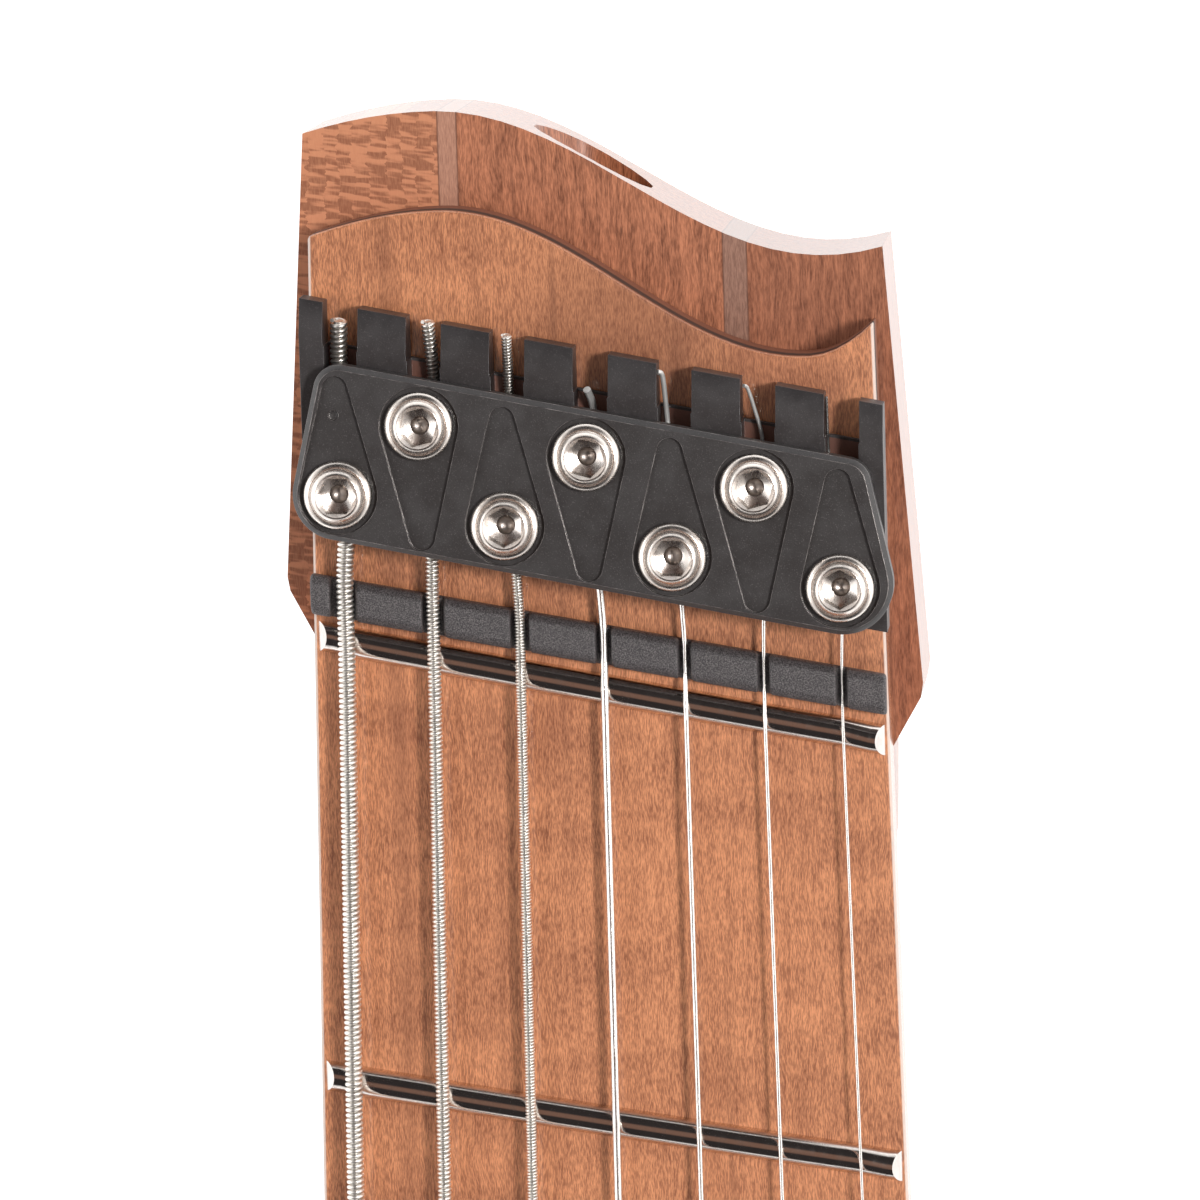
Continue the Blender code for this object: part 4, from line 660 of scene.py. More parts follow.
def eased(mesh, width, steps=2, angle=34, edge=None):
    """The mesh with its sharp edges rounded by a width; edge is a finish for the rounding alone."""
    if edge:
        paint_over(mesh, ANODISED, edge)
    item = link("eased", mesh)
    modifier = item.modifiers.new("ease", "BEVEL")
    modifier.width, modifier.segments = width, steps
    modifier.limit_method, modifier.angle_limit = "ANGLE", math.radians(angle)
    modifier.use_clamp_overlap = modifier.loop_slide = True
    modifier.material = 1 if edge else -1
    return baked(item)


def paint_over(mesh, *materials):
    """Gives the mesh these finishes; with as many as before, its faces keep their own."""
    if len(mesh.materials) != len(materials):
        mesh.materials.clear()
        for material in materials:
            mesh.materials.append(material)
    for index, material in enumerate(materials):
        mesh.materials[index] = material


def piece(name, mesh, materials, body, replaces=(), smooth=38):
    """A finished piece: shaded, painted, riding on its body and standing for its nodes.

    Weighted normals let the broad faces keep their own direction, so that only the narrow eased
    edges turn the light.
    """
    paint_over(mesh, *(materials if isinstance(materials, list) else [materials]))
    mesh.shade_smooth()
    mesh.set_sharp_from_angle(angle=math.radians(smooth))
    item = link(name, mesh)
    weighted = item.modifiers.new("flat faces stay flat", "WEIGHTED_NORMAL")
    weighted.keep_sharp = True
    item = link(name, baked(item))
    item.name = name
    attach(item, body)
    if replaces:
        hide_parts(*([replaces] if isinstance(replaces, str) else replaces))
    return item


print("mesh helpers ready")

# %% [markdown]
# ## The fan of the frets
# The bass scale is longer than the treble scale, so only the tenth fret stands square and every
# other line leans. The board, the frets, the guide and the strings all follow from these lines.

# %% The fan
SCALE_BASS, SCALE_TREBLE = 0.66675, 0.6477
SQUARE_FRET, FRETS = 10, 24
GAUGES = (0.00150, 0.00117, 0.00091, 0.00066, 0.00043, 0.00033, 0.00025)
STRINGS = len(GAUGES)
NUMBERS = [str(index + 1) for index in range(STRINGS)]
NUT_HALF, BRIDGE_PITCH = 0.02075, 0.0105
BRIDGE_HALF = BRIDGE_PITCH * (STRINGS - 1) / 2
MEAN_SCALE = (SCALE_BASS + SCALE_TREBLE) / 2
MARGINS = (0.0029, 0.0037)


def share_of(fret):
    return 1 - 2 ** (-fret / 12)


SQUARE_Y = MEAN_SCALE * (1 - share_of(SQUARE_FRET))


def half_spread(y):
    """Half the distance between the outer strings at y."""
    return BRIDGE_HALF + (NUT_HALF - BRIDGE_HALF) * y / MEAN_SCALE


def fan_line(share):
    """Where the line at this share of the scale crosses x = 0, and its slope."""
    bass = SQUARE_Y - SCALE_BASS * (share - share_of(SQUARE_FRET))
    treble = SQUARE_Y - SCALE_TREBLE * (share - share_of(SQUARE_FRET))
    slope = (treble - bass) / (half_spread(bass) + half_spread(treble))
    return bass + slope * half_spread(bass), slope


NUT_Y, NUT_SLOPE = fan_line(0)
BRIDGE_Y, BRIDGE_SLOPE = fan_line(1)


def left_edge(y):
    return -half_spread(y) - MARGINS[0]


def right_edge(y):
    return half_spread(y) + MARGINS[1]


def across(mid_y, slope, inset=0.0):
    """Where a leaning line meets the two edges of the board."""
    left = left_edge(mid_y + slope * left_edge(mid_y)) + inset
    right = right_edge(mid_y + slope * right_edge(mid_y)) - inset
    return left, right


print("zero fret at y", round(NUT_Y, 4), "leaning", round(NUT_SLOPE, 3))

# %% [markdown]
# ## The fretboard
# A radiused board with a wave at its head end. It is laid out as a grid: columns run along the
# strings and follow the taper, rows run across. The top follows a circle of 508 mm radius.

# %% Fretboard
BOARD_BOTTOM, BOARD_TOP, BOARD_RADIUS = 0.046, 0.052, 0.508
FRET_HEIGHT, FRET_WIDTH, FRET_INSET = 0.0013, 0.0027, 0.0002
PAST_LAST_FRET = 0.0085
WAVE_MIDDLE, WAVE_RISE, WAVE_CREST, WAVE_TROUGH = 0.0338, 0.0064, -0.0120, 0.0183
HOOK_WIDTH, HOOK_RISE = 0.0060, 0.0019


def board_z(x):
    return BOARD_TOP - x * x / (2 * BOARD_RADIUS)


def board_wave_y(x):
    """The S of the head end: a slow rise, a crest, a trough and a small hook up at the treble edge."""
    turn = math.pi * (x - WAVE_CREST) / (WAVE_TROUGH - WAVE_CREST)
    swing = WAVE_RISE * math.cos(turn * (0.70 if x < WAVE_CREST else 1.0))
    hook = max(0.0, x - WAVE_TROUGH) / HOOK_WIDTH
    return NUT_Y + WAVE_MIDDLE + swing + HOOK_RISE * hook**2


def board_rows(columns=44, rows=90):
    """Points of the top, row by row from the body end to the wave."""
    end_y, end_slope = fan_line(share_of(FRETS))
    end_y -= PAST_LAST_FRET
    grid = []
    for row in range(rows + 1):
        line = []
        for column in range(columns + 1):
            share, x = column / columns, 0.0
            for _ in range(6):
                start, stop = end_y + end_slope * x, board_wave_y(x)
                y = start + (stop - start) * row / rows
                x = left_edge(y) + (right_edge(y) - left_edge(y)) * share
            line.append((x, y))
        grid.append(line)
    return grid


def make_board():
    grid = board_rows()
    shape = bmesh.new()
    top = [[shape.verts.new((x, y, board_z(x))) for x, y in line] for line in grid]
    low = [[shape.verts.new((x, y, BOARD_BOTTOM)) for x, y in line] for line in grid]
    rows, columns = len(grid) - 1, len(grid[0]) - 1
    for level in (top, low):
        for near, far in zip(level, level[1:]):
            for c in range(columns):
                shape.faces.new((near[c], near[c + 1], far[c + 1], far[c]))
    rim = [(0, c) for c in range(columns)] + [(r, columns) for r in range(rows)]
    rim += [(rows, c) for c in range(columns, 0, -1)] + [(r, 0) for r in range(rows, 0, -1)]
    for (r0, c0), (r1, c1) in zip(rim, rim[1:] + rim[:1]):
        shape.faces.new((top[r0][c0], top[r1][c1], low[r1][c1], low[r0][c0]))
    return eased(closed_mesh(shape), 0.00030, 3, 60)


board = piece("board", make_board(), BOARD_MAPLE, "guitar", "fretboard")
print("board faces", len(board.data.polygons))

# %% [markdown]
# ## Frets
# Twenty-five bars of the same section lie across the board. Each starts as a line of points, and
# one Geometry Nodes tree sweeps the crown along all of them: lines to curves, a profile made from
# an arc, then one mesh whose marked ends lean inward with their height.


# %% A tree for swept bars
class Growth(Tree):
    """A Geometry Nodes tree with named inputs."""

    def __init__(self, name, sockets):
        group = bpy.data.node_groups.new(name, "GeometryNodeTree")
        super().__init__(group)
        self.ids = {}
        group.interface.new_socket("Geometry", in_out="OUTPUT", socket_type="NodeSocketGeometry")
        for label, kind in (("Geometry", "Geometry"), *sockets):
            made = group.interface.new_socket(label, in_out="INPUT", socket_type="NodeSocket" + kind)
            self.ids[label] = made.identifier
        self.inputs = self.node("NodeGroupInput")

    def value(self, label):
        return self.inputs.output(label)

    def named(self, name):
        """A number that every point of the start mesh carries."""
        return self.node("GeometryNodeInputNamedAttribute", {"data_type": "FLOAT"}, {"Name": name})

    def scaled(self, vector, size):
        return self.node("ShaderNodeVectorMath", {"operation": "SCALE"}, {0: vector, "Scale": size})

    def circle(self, sides, radius):
        inputs = {"Resolution": sides, "Radius": radius}
        return self.node("GeometryNodeCurvePrimitiveCircle", inputs=inputs)

    def sweep(self, curve, profile):
        """A closed skin from a profile carried along a curve."""
        return self.node("GeometryNodeCurveToMesh", inputs={0: curve, 1: profile, "Fill Caps": True})

    def finish(self, geometry, material):
        """Real geometry with a finish, sent to the output."""
        real = self.node("GeometryNodeRealizeInstances", inputs={0: geometry})
        painted = self.node("GeometryNodeSetMaterial", inputs={0: real, "Material": material})
        self.node("NodeGroupOutput", inputs={0: painted})

    def grow(self, mesh, **values):
        """The mesh that the tree makes from a start mesh and named values."""
        item = link("start", mesh)
        modifier = item.modifiers.new("grow", "NODES")
        modifier.node_group = self.tree
        for label, value in values.items():
            modifier[self.ids[label.replace("_", " ")]] = value
        return baked(item)


def wires(lines, **attributes):
    """A mesh of open lines with a number at every point for each attribute."""
    shape = bmesh.new()
    layers = {name: shape.verts.layers.float.new(name) for name in attributes}
    for index, line in enumerate(lines):
        before = None
        for step, point in enumerate(line):
            vert = shape.verts.new(point)
            for name, layer in layers.items():
                vert[layer] = attributes[name][index][step]
            if before:
                shape.edges.new((before, vert))
            before = vert
    return as_mesh(shape)


def swept_tree(material):
    sockets = (("Half width", "Float"), ("Height", "Float"), ("Slant", "Float"), ("Sides", "Int"))
    g = Growth("swept bars", sockets)
    curve = g.node("GeometryNodeMeshToCurve", inputs={0: g.value("Geometry")})
    curve = g.node("GeometryNodeSetCurveNormal", {"mode": "Z_UP"}, {0: curve})
    curve = g.node("GeometryNodeSetCurveRadius", inputs={0: curve, "Radius": g.named("swell")})
    half_turn = {"Start Angle": math.pi, "Sweep Angle": math.pi, "Connect Center": False}
    inputs = {"Resolution": g.value("Sides"), "Radius": 1.0, **half_turn}
    arch = g.node("GeometryNodeCurveArc", {"mode": "RADIUS"}, inputs)
    size = g.point(g.value("Half width"), g.value("Height"), 1.0)
    arch = g.node("GeometryNodeTransform", inputs={0: arch, "Scale": size})
    arch = g.node("GeometryNodeSetSplineCyclic", inputs={0: arch, "Cyclic": True})
    bars = g.sweep(curve, arch)
    end, foot, place = g.named("end"), g.named("foot"), g.named("place")
    spot = g.node("ShaderNodeSeparateXYZ", inputs={0: g.node("GeometryNodeInputPosition")})
    inward = end * (foot - spot.output("Z")) * g.value("Slant")
    level = end * end * (place - spot)
    offset = g.point(inward + level, 0.0, 0.0)
    g.finish(g.node("GeometryNodeSetPosition", inputs={0: bars, "Offset": offset}), material)
    return g


print("tree for bars ready")

# %% [markdown]
# The line of a fret is a little under the wood, so its foot is hidden. Four numbers go with each
# point: whether it is an end, how high the foot is there, how full the section is and where it
# lies across the board. The tree reads them, and gives each end the slanted, half-round facet with
# a rounded rim of real frets, cut level with the edge of the board.

# %% Frets
FRET_SINK, FRET_STEPS, FRET_SLANT, FRET_SIDES = 0.0003, 24, 0.62, 17
# how far from the end of the fret, and how full the section is there
FRET_ENDS = ((0.0, 0.76), (0.00006, 0.86), (0.00016, 0.93), (0.00034, 0.98), (0.0006, 1.0))


def fret_line(fret):
    """Points along a fret's foot, then end marks, foot heights, section sizes and places across."""
    mid_y, slope = fan_line(share_of(fret))
    left, right = across(mid_y, slope, FRET_INSET)
    stations = [(left + inset, -1.0, size) for inset, size in FRET_ENDS]
    for step in range(2, FRET_STEPS - 1):
        stations.append((left + (right - left) * step / FRET_STEPS, 0.0, 1.0))
    stations += [(right - inset, 1.0, size) for inset, size in reversed(FRET_ENDS)]
    points = [(x, mid_y + slope * x, board_z(x) - FRET_SINK) for x, _, _ in stations]
    marks = [(end, point[2], size, point[0]) for (_, end, size), point in zip(stations, points)]
    return (points, *zip(*marks))


lines, ends, feet, swells, places = zip(*[fret_line(fret) for fret in range(FRETS + 1)])
fret_tree = swept_tree(FRET_STEEL)
fret_lines = wires(lines, end=ends, foot=feet, swell=swells, place=places)
bar = {"Half_width": FRET_WIDTH / 2, "Height": FRET_HEIGHT + FRET_SINK}
fret_mesh = fret_tree.grow(fret_lines, Slant=FRET_SLANT, Sides=FRET_SIDES, **bar)
frets = piece("frets", fret_mesh, FRET_STEEL, "guitar", smooth=48)
print("frets", len(lines), "faces", len(frets.data.polygons))

# %% [markdown]
# ## Neck and head
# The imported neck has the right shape, with its laminated head and the bore for the truss rod. A
# refined copy gets its edges eased; the thin rounding shows as the pale line round the head.

# %% Neck
neck_mesh = eased(copy_of("neck"), 0.00025, 2, 50)
neck = piece("neck_wood", neck_mesh, NECK_MAPLE, "guitar", "neck")
print("neck faces", len(neck.data.polygons))

# %% [markdown]
# ## The string guide and the lock
# The graphite guide and the comb of the lock only need eased edges. Between the comb's posts the
# floors get a painted brown reflection of the wood, up to a dark line along their far edge, so the
# comb has a black of its own with these places painted in.

# %% Guide and lock comb
LOCK_SLANT = -0.205
COMB_FLOOR, COMB_FLOOR_END, COMB_LINE = 0.0530, 0.0252, 0.00030


def comb_floor_reflection(f):
    """The floors between the posts, short of the dark line, and the brown of their painted reflection."""
    low = 1 - f.ramp(f.z, COMB_FLOOR + 0.00004, COMB_FLOOR + 0.00010)
    line = NUT_Y + COMB_FLOOR_END - COMB_LINE
    return low * (1 - f.ramp(f.y - f.x * LOCK_SLANT, line, line + 0.00008)), paint(108, 64, 48)


blacks = (40, 36, 37), (52, 47, 48), (86, 79, 80)
COMB_BLACK = anodised("anodised_comb", *blacks, comb_floor_reflection)
guide = eased(copy_of("string_guide_nut"), 0.00028, 3)
piece("guide", guide, GRAPHITE, "guitar", "string_guide_nut")
comb = eased(copy_of("lock_base"), 0.00012, 2)
piece("lock_comb", comb, COMB_BLACK, "guitar", "lock_base")
print("guide faces", len(guide.polygons), "comb faces", len(comb.polygons))

# %% [markdown]
# ## The clamp plate
# The plate is made again with smooth ends: a hull round four discs, seven tapered pockets, a hole
# for each screw, a small dimple and a chamfered rim. Its eased edges get the pale finish of a
# painted highlight.


# %% Outlines from arcs
def arc(centre, radius, start, end, steps):
    angles = [math.radians(start + (end - start) * step / steps) for step in range(steps + 1)]
    return [(centre[0] + radius * math.cos(a), centre[1] + radius * math.sin(a)) for a in angles]


def hull(points):
    """The convex outline round some points."""
    points = sorted(set(points))
    halves = []
    for run in (points, points[::-1]):
        side = []
        for point in run:
            while len(side) > 1:
                (ax, ay), (bx, by) = side[-2], side[-1]
                if (bx - ax) * (point[1] - ay) > (by - ay) * (point[0] - ax):
                    break
                side.pop()
            side.append(point)
        halves.append(side[:-1])
    return halves[0] + halves[1]


print("a hull of four points keeps", len(hull([(0, 0), (2, 0), (1, 1), (0, 2)])))

# %% Clamp plate
LOCK_PITCH, LOCK_CENTRE = 0.0069, 0.0007
PLATE_BOTTOM, PLATE_TOP = 0.0568, 0.0588
PLATE_NEAR, PLATE_FAR = 0.00925, 0.0241
# radii of the plate's round ends and of its far corners
PLATE_ENDS, PLATE_CORNER = (0.0038, 0.0042), 0.0021
# a pocket's depth, the radii of its two ends, and how far the narrow end stays from the near and
# the far edge
POCKET, POCKET_WIDE, POCKET_NARROW, POCKET_IN = 0.0005, 0.0033, 0.0011, (0.0017, 0.0021)
SCREW_HOLE, RIM, PAST = 0.0020, 0.00042, 0.001
SCREW_ROWS = (0.0132, 0.0202)


def lock_x(index):
    return LOCK_CENTRE + (index - (STRINGS - 1) / 2) * LOCK_PITCH


def lock_y(x, v):
    return NUT_Y + LOCK_SLANT * x + v


def screw_place(index):
    x = lock_x(index) - 0.0003
    return x, lock_y(x, SCREW_ROWS[index % 2])


def plate_outline():
    first, last = screw_place(0), screw_place(STRINGS - 1)
    discs = [(first, PLATE_ENDS[0]), ((last[0] + 0.0002, last[1] + 0.0003), PLATE_ENDS[1])]
    for x in (first[0] + 0.0003, last[0] + 0.0006):
        y = lock_y(x, PLATE_FAR) - PLATE_CORNER * math.hypot(1, LOCK_SLANT)
        discs.append(((x, y), PLATE_CORNER))
    return hull([point for centre, radius in discs for point in arc(centre, radius, 0, 354, 59)])


def pocket_outline(index):
    """Wide round the screw, narrow towards the near or the far edge in turn."""
    x, y = screw_place(index)
    end = lock_y(x, PLATE_NEAR + POCKET_IN[0] if index % 2 else PLATE_FAR - POCKET_IN[1])
    return hull(arc((x, y), POCKET_WIDE, 0, 354, 59) + arc((x, end), POCKET_NARROW, 0, 350, 35))


def make_plate():
    shape = bmesh.new()
    shape.from_mesh(prism(plate_outline(), PLATE_BOTTOM, PLATE_TOP))
    rim = [e for e in shape.edges if all(v.co.z > PLATE_TOP - 1e-5 for v in e.verts)]
    bmesh.ops.bevel(shape, geom=rim, offset=RIM, segments=1, profile=0.5, affect="EDGES")
    plate = closed_mesh(shape)
    floor, bore = PLATE_TOP - POCKET, [(SCREW_HOLE, PLATE_BOTTOM - PAST), (SCREW_HOLE, PLATE_TOP + PAST)]
    pockets, holes = [], []
    for index in range(STRINGS):
        pockets.append(prism(pocket_outline(index), floor, PLATE_TOP + PAST))
        holes.append(turned(bore, 48, (*screw_place(index), 0)))
    x = screw_place(0)[0]
    dimple = turned([(0.0004, floor - 0.0003), (0.0005, PLATE_TOP)], 24, (x - 0.0002, lock_y(x, 0.0198), 0))
    plate = cut_out(plate, [merged(pockets), merged(holes), dimple])
    # the eased edges get the pale finish of a painted highlight
    return eased(plate, 0.00009, 2, 40, EDGE_HIGHLIGHT)


plate = make_plate()
piece("lock_plate", plate, [ANODISED, EDGE_HIGHLIGHT], "guitar", "clamp_plate", 30)
print("plate top at", PLATE_TOP, "faces", len(plate.polygons))

# %% [markdown]
# ## Heads with sockets
# A socket could be cut with a Boolean, but rings are cleaner: they climb the outside of the head,
# cross its crown and go down inside. Round the socket each ring follows a rule for how far a
# hexagon or a cross reaches at an angle, so the walls come out flat and the corners true.

# %% Sockets
HEXAGON_ANGLES = [math.tau * step / 48 for step in range(48)]
CROSS_STEPS = (0, 8, 16.7, 24, 34, 45, 56, 66, 73.3, 82)
CROSS_ANGLES = [math.radians(quarter + step) for quarter in (0, 90, 180, 270) for step in CROSS_STEPS]


def hexagon(flat):
    """How far a hexagon reaches at an angle; flat is half its width over the flats."""
    return lambda angle: flat / math.cos((angle + math.pi / 6) % (math.pi / 3) - math.pi / 6)


def cross(arm):
    """How far a cross reaches at an angle; each arm is as wide as 0.6 of its length."""

    def reach(angle):
        turn = (angle + math.pi / 4) % (math.pi / 2) - math.pi / 4
        if abs(math.tan(turn)) <= 0.3001:
            return arm / math.cos(turn)
        return 0.3 * arm / abs(math.sin(turn))

    return reach


def socketed(outside, reach, angles, floor, lead=0.0, taper=1.0, drill=()):
    """A head from rings of (radius, height), with a socket down to floor and a drilled hollow.

    The lead is the radius of the cone at the socket's mouth, the taper its share at the floor.
    """

    def ring(radius, height):
        return [(radius * math.cos(a), radius * math.sin(a), height) for a in angles]

    top = outside[-1][1]
    reaches = [reach(angle) for angle in angles]
    rings = [ring(*spot) for spot in outside]
    if lead:
        rings.append(ring(lead, top))
    mouth, bottom = [], []
    for angle, r in zip(angles, reaches):
        x, y = r * math.cos(angle), r * math.sin(angle)
        mouth.append((x, y, top - max(0.0, lead - r)))
        bottom.append((x * taper, y * taper, floor))
    return loft(rings + [mouth, bottom] + [ring(*spot) for spot in drill])


def aimed(mesh, place, axis=(0, 0, 1), turn=0.0):
    """A copy of a mesh built along +z, turned to an axis and put in its place."""
    result = mesh.copy()
    result.transform(aim(place, axis) @ Matrix.Rotation(turn, 4, "Z"))
    return result


print("socket helpers ready")

# %% [markdown]
# ## Clamp screws
# Each head is a flanged button with two fine turned grooves, a sloped crown, a deep hexagon socket
# with a conical lead and the hollow that a drill leaves at the bottom. One mesh serves all seven,
# but each stands on a body of its own.

# %% Clamp screws
SEAT = PLATE_TOP - POCKET + 0.0003
# rings from the shank up, as (radius, height) in mm
SHANK = [(1.0, -3.0), (1.0, -1.4), (1.96, -1.4), (1.96, 0.0)]
FLANGE = [(2.70, 0.0), (2.83, 0.06), (2.87, 0.18), (2.85, 0.32), (2.76, 0.48), (2.62, 0.62)]
FLANGE += [(2.48, 0.70)]
GROOVE = [(2.40, 0.72), (2.37, 0.68), (2.33, 0.68), (2.30, 0.74)]
CROWN = [(2.24, 0.92), (2.19, 1.00), (2.16, 1.00), (2.11, 1.08), (2.00, 1.22), (1.90, 1.32)]
CROWN += [(1.82, 1.37), (1.76, 1.38)]
DRILL = [(1.05, -0.74), (0.79, -0.81), (0.74, -0.90), (0.68, -1.02), (0.40, -1.20), (0.10, -1.26)]
SOCKET_HALF, SOCKET_FLOOR, SOCKET_LEAD = 0.00146, -0.00062, 0.00174
DRILL_WIDTH, DRILL_FROM = 0.00079, -0.00078


def make_clamp_head():
    """The head with darker steel on the floor of the drilled hollow, painted shade, as its second finish.
    """
    rings = from_mm(SHANK + FLANGE + GROOVE + CROWN)
    socket = {"floor": SOCKET_FLOOR, "lead": SOCKET_LEAD, "drill": from_mm(DRILL)}
    head = socketed(rings, hexagon(SOCKET_HALF), HEXAGON_ANGLES, **socket)
    paint_over(head, POLISHED, HOLLOW_SHADE_STEEL)
    for face in head.polygons:
        x, y, z = face.center
        inside = z < DRILL_FROM and math.hypot(x, y) < DRILL_WIDTH
        face.material_index = int(inside and face.normal.z > 0)
    return head


clamp_head = make_clamp_head()
for index, number in enumerate(NUMBERS):
    node = "clamp_screw_" + number
    mesh = aimed(clamp_head, (*screw_place(index), SEAT), turn=0.5 + index * 1.31)
    piece("clamp_head_" + number, mesh, [POLISHED, HOLLOW_SHADE_STEEL], node, node, 32)
print("clamp heads", STRINGS, "faces each", len(clamp_head.polygons))

# %% [markdown]
# ## Strings
# Each string runs from its cut tail behind the plate, through the lock, the guide and over the
# zero fret to its saddle and down to the ball in the puller.

# %% Where the strings run
LOCK_NEAR = 0.0099
GUIDE_SLANT, GUIDE_NEAR, GUIDE_FAR = -0.195, 0.0022, 0.0056
# for each string: how far its cut tail reaches past the plate, leans aside, lifts and hooks
TAILS = (0.0032, 0.0046, 0.0046, 0.0014, 0.0039, 0.0042, 0.0044)
TAIL_LEANS = (0.0002, -0.0003, 0.0, -0.0004, -0.0002, -0.0011, 0.0)
TAIL_LIFTS = (0.0008, 0.0010, 0.0010, 0.0014, 0.0012, 0.0010, 0.0010)
TAIL_HOOKS = (0, 0, 0, 0, 0.0004, 0.0003, 0)
# how far aside it lies under the plate's two long edges
AT_NEAR_EDGE = (-0.0002, 0, 0, 0, -0.0001, -0.0001, -0.0005)
AT_FAR_EDGE = (-0.0004, 0.0006, -0.0001, 0, -0.0008, 0.0002, -0.0013)
PULLER_FRONT, PULLER_BACK, BALL = -0.0182, -0.0282, 0.0034
BASE_BOTTOM, ANCHOR = 0.0426, 0.0070
# how many gauges a crest stands behind the bridge line, half its length, the still point beyond
COMPENSATION, CREST_HALF, DIVE_MIDDLE = 2.2, 0.0008, 0.0105
# heights above the board in the lock and the guide, the play over a fret, the saddle's extra height
LOCK_FLOOR, GUIDE_FLOOR, CLEAR, SADDLE_RISE = 0.0013, 0.0012, 0.0003, 0.0028
FIRST_ASIDE = 0.0002


def nut_x():
    steps = [(a + b) / 2 for a, b in zip(GAUGES, GAUGES[1:])]
    space = (2 * NUT_HALF - sum(steps)) / len(steps)
    places = [-NUT_HALF]
    for step in steps:
        places.append(places[-1] + space + step)
    places[0] += FIRST_ASIDE
    return places


def bridge_x(index):
    return (index - (STRINGS - 1) / 2) * BRIDGE_PITCH


def bridge_y(x):
    return BRIDGE_Y + BRIDGE_SLOPE * x


def string_route(index):
    """Corner points from the cut tail to the ball, on the wire's middle line."""
    radius, at_nut, at_bridge = GAUGES[index] / 2, nut_x()[index], bridge_x(index)
    near_x, far_x = lock_x(index) + AT_NEAR_EDGE[index], lock_x(index) + AT_FAR_EDGE[index]
    in_lock, in_guide = BOARD_TOP + LOCK_FLOOR + radius, BOARD_TOP + GUIDE_FLOOR + radius
    on_fret = board_z(at_nut) + FRET_HEIGHT + CLEAR + radius
    on_saddle = board_z(at_bridge) + FRET_HEIGHT + CLEAR + SADDLE_RISE + radius
    contact = bridge_y(at_bridge) - COMPENSATION * GAUGES[index]
    anchor = BASE_BOTTOM + ANCHOR
    tail, lean, lift = TAILS[index], TAIL_LEANS[index], TAIL_LIFTS[index]
    tip = (far_x + lean, lock_y(far_x, PLATE_FAR + tail), in_lock + lift)
    hook = TAIL_HOOKS[index]
    points = [(tip[0] - hook, tip[1] + 0.0001, tip[2] + 0.0003)] if hook else []
    points += [
        tip,
        (far_x, lock_y(far_x, PLATE_FAR), in_lock),
        (near_x, lock_y(near_x, LOCK_NEAR), in_lock),
        (at_nut, NUT_Y + GUIDE_SLANT * at_nut + GUIDE_FAR, in_guide),
        (at_nut, NUT_Y + GUIDE_SLANT * at_nut + GUIDE_NEAR, in_guide),
        (at_nut, NUT_Y + NUT_SLOPE * at_nut, on_fret),
        (at_bridge, contact + CREST_HALF, on_saddle),
        (at_bridge, contact - CREST_HALF, on_saddle),
        (at_bridge, bridge_y(at_bridge) + PULLER_FRONT - 0.0004, anchor),
        (at_bridge, bridge_y(at_bridge) + PULLER_BACK + BALL, anchor),
    ]
    return [Vector(point) for point in points]


def softened(points, reach=0.0012):
    """The route with each corner cut into a short arc."""
    route = [points[0]]
    for before, corner, after in zip(points, points[1:], points[2:]):
        back, ahead = before - corner, after - corner
        start = corner + back.normalized() * min(reach, back.length * 0.45)
        end = corner + ahead.normalized() * min(reach, ahead.length * 0.45)
        for step in range(5):
            t = step / 4
            route.append(start * (1 - t) ** 2 + corner * 2 * t * (1 - t) + end * t**2)
    return route + [points[-1]]


print("string 1 route of", len(softened(string_route(0))), "points")

# %% [markdown]
# ### Windings
# The three heavy strings are wrapped with fine wire. Where the photograph looks, from the tail to
# past the first fret, the wrap is real: a Geometry Nodes tree resamples the route, carries each
# point round it as a screw, and sweeps a round wire along that. Further down the wrap is too fine
# to see one by one, and ribs in the bump take over.


# %% A tree for windings
def winding_tree(material):
    sizes = (("Core", "Float"), ("Wire", "Float"), ("Per turn", "Float"))
    g = Growth("winding", (*sizes, ("Points", "Int"), ("Sides", "Int")))
    curve = g.node("GeometryNodeMeshToCurve", inputs={0: g.value("Geometry")})
    inputs = {0: curve, "Count": g.value("Points")}
    curve = g.node("GeometryNodeResampleCurve", {"mode": "COUNT"}, inputs)
    normal, tangent = g.node("GeometryNodeInputNormal"), g.node("GeometryNodeInputTangent")
    side = g.vector("CROSS_PRODUCT", tangent, normal)
    angle = g.node("GeometryNodeInputIndex") / g.value("Per turn") * math.tau
    reach = g.value("Core") + g.value("Wire")
    ahead = g.scaled(normal, g.maths("COSINE", angle) * reach)
    aside = g.scaled(side, g.maths("SINE", angle) * reach)
    spoke = g.vector("ADD", ahead, aside)
    coil = g.node("GeometryNodeSetPosition", inputs={0: curve, "Offset": spoke})
    wrap = g.sweep(coil, g.circle(g.value("Sides"), g.value("Wire")))
    core = g.sweep(curve, g.circle(10, g.value("Core") + g.value("Wire") * 0.3))
    both = g.node("GeometryNodeJoinGeometry", inputs={0: wrap})
    g.tree.links.new(core.socket, both.socket.node.inputs[0])
    g.finish(g.node("GeometryNodeSetShadeSmooth", inputs={0: both}), material)
    return g


def tube_tree(material):
    g = Growth("wire", (("Radius", "Float"), ("Sides", "Int")))
    curve = g.node("GeometryNodeMeshToCurve", inputs={0: g.value("Geometry")})
    g.finish(g.sweep(curve, g.circle(g.value("Sides"), g.value("Radius"))), material)
    return g


RIB_PITCH = 0.00042


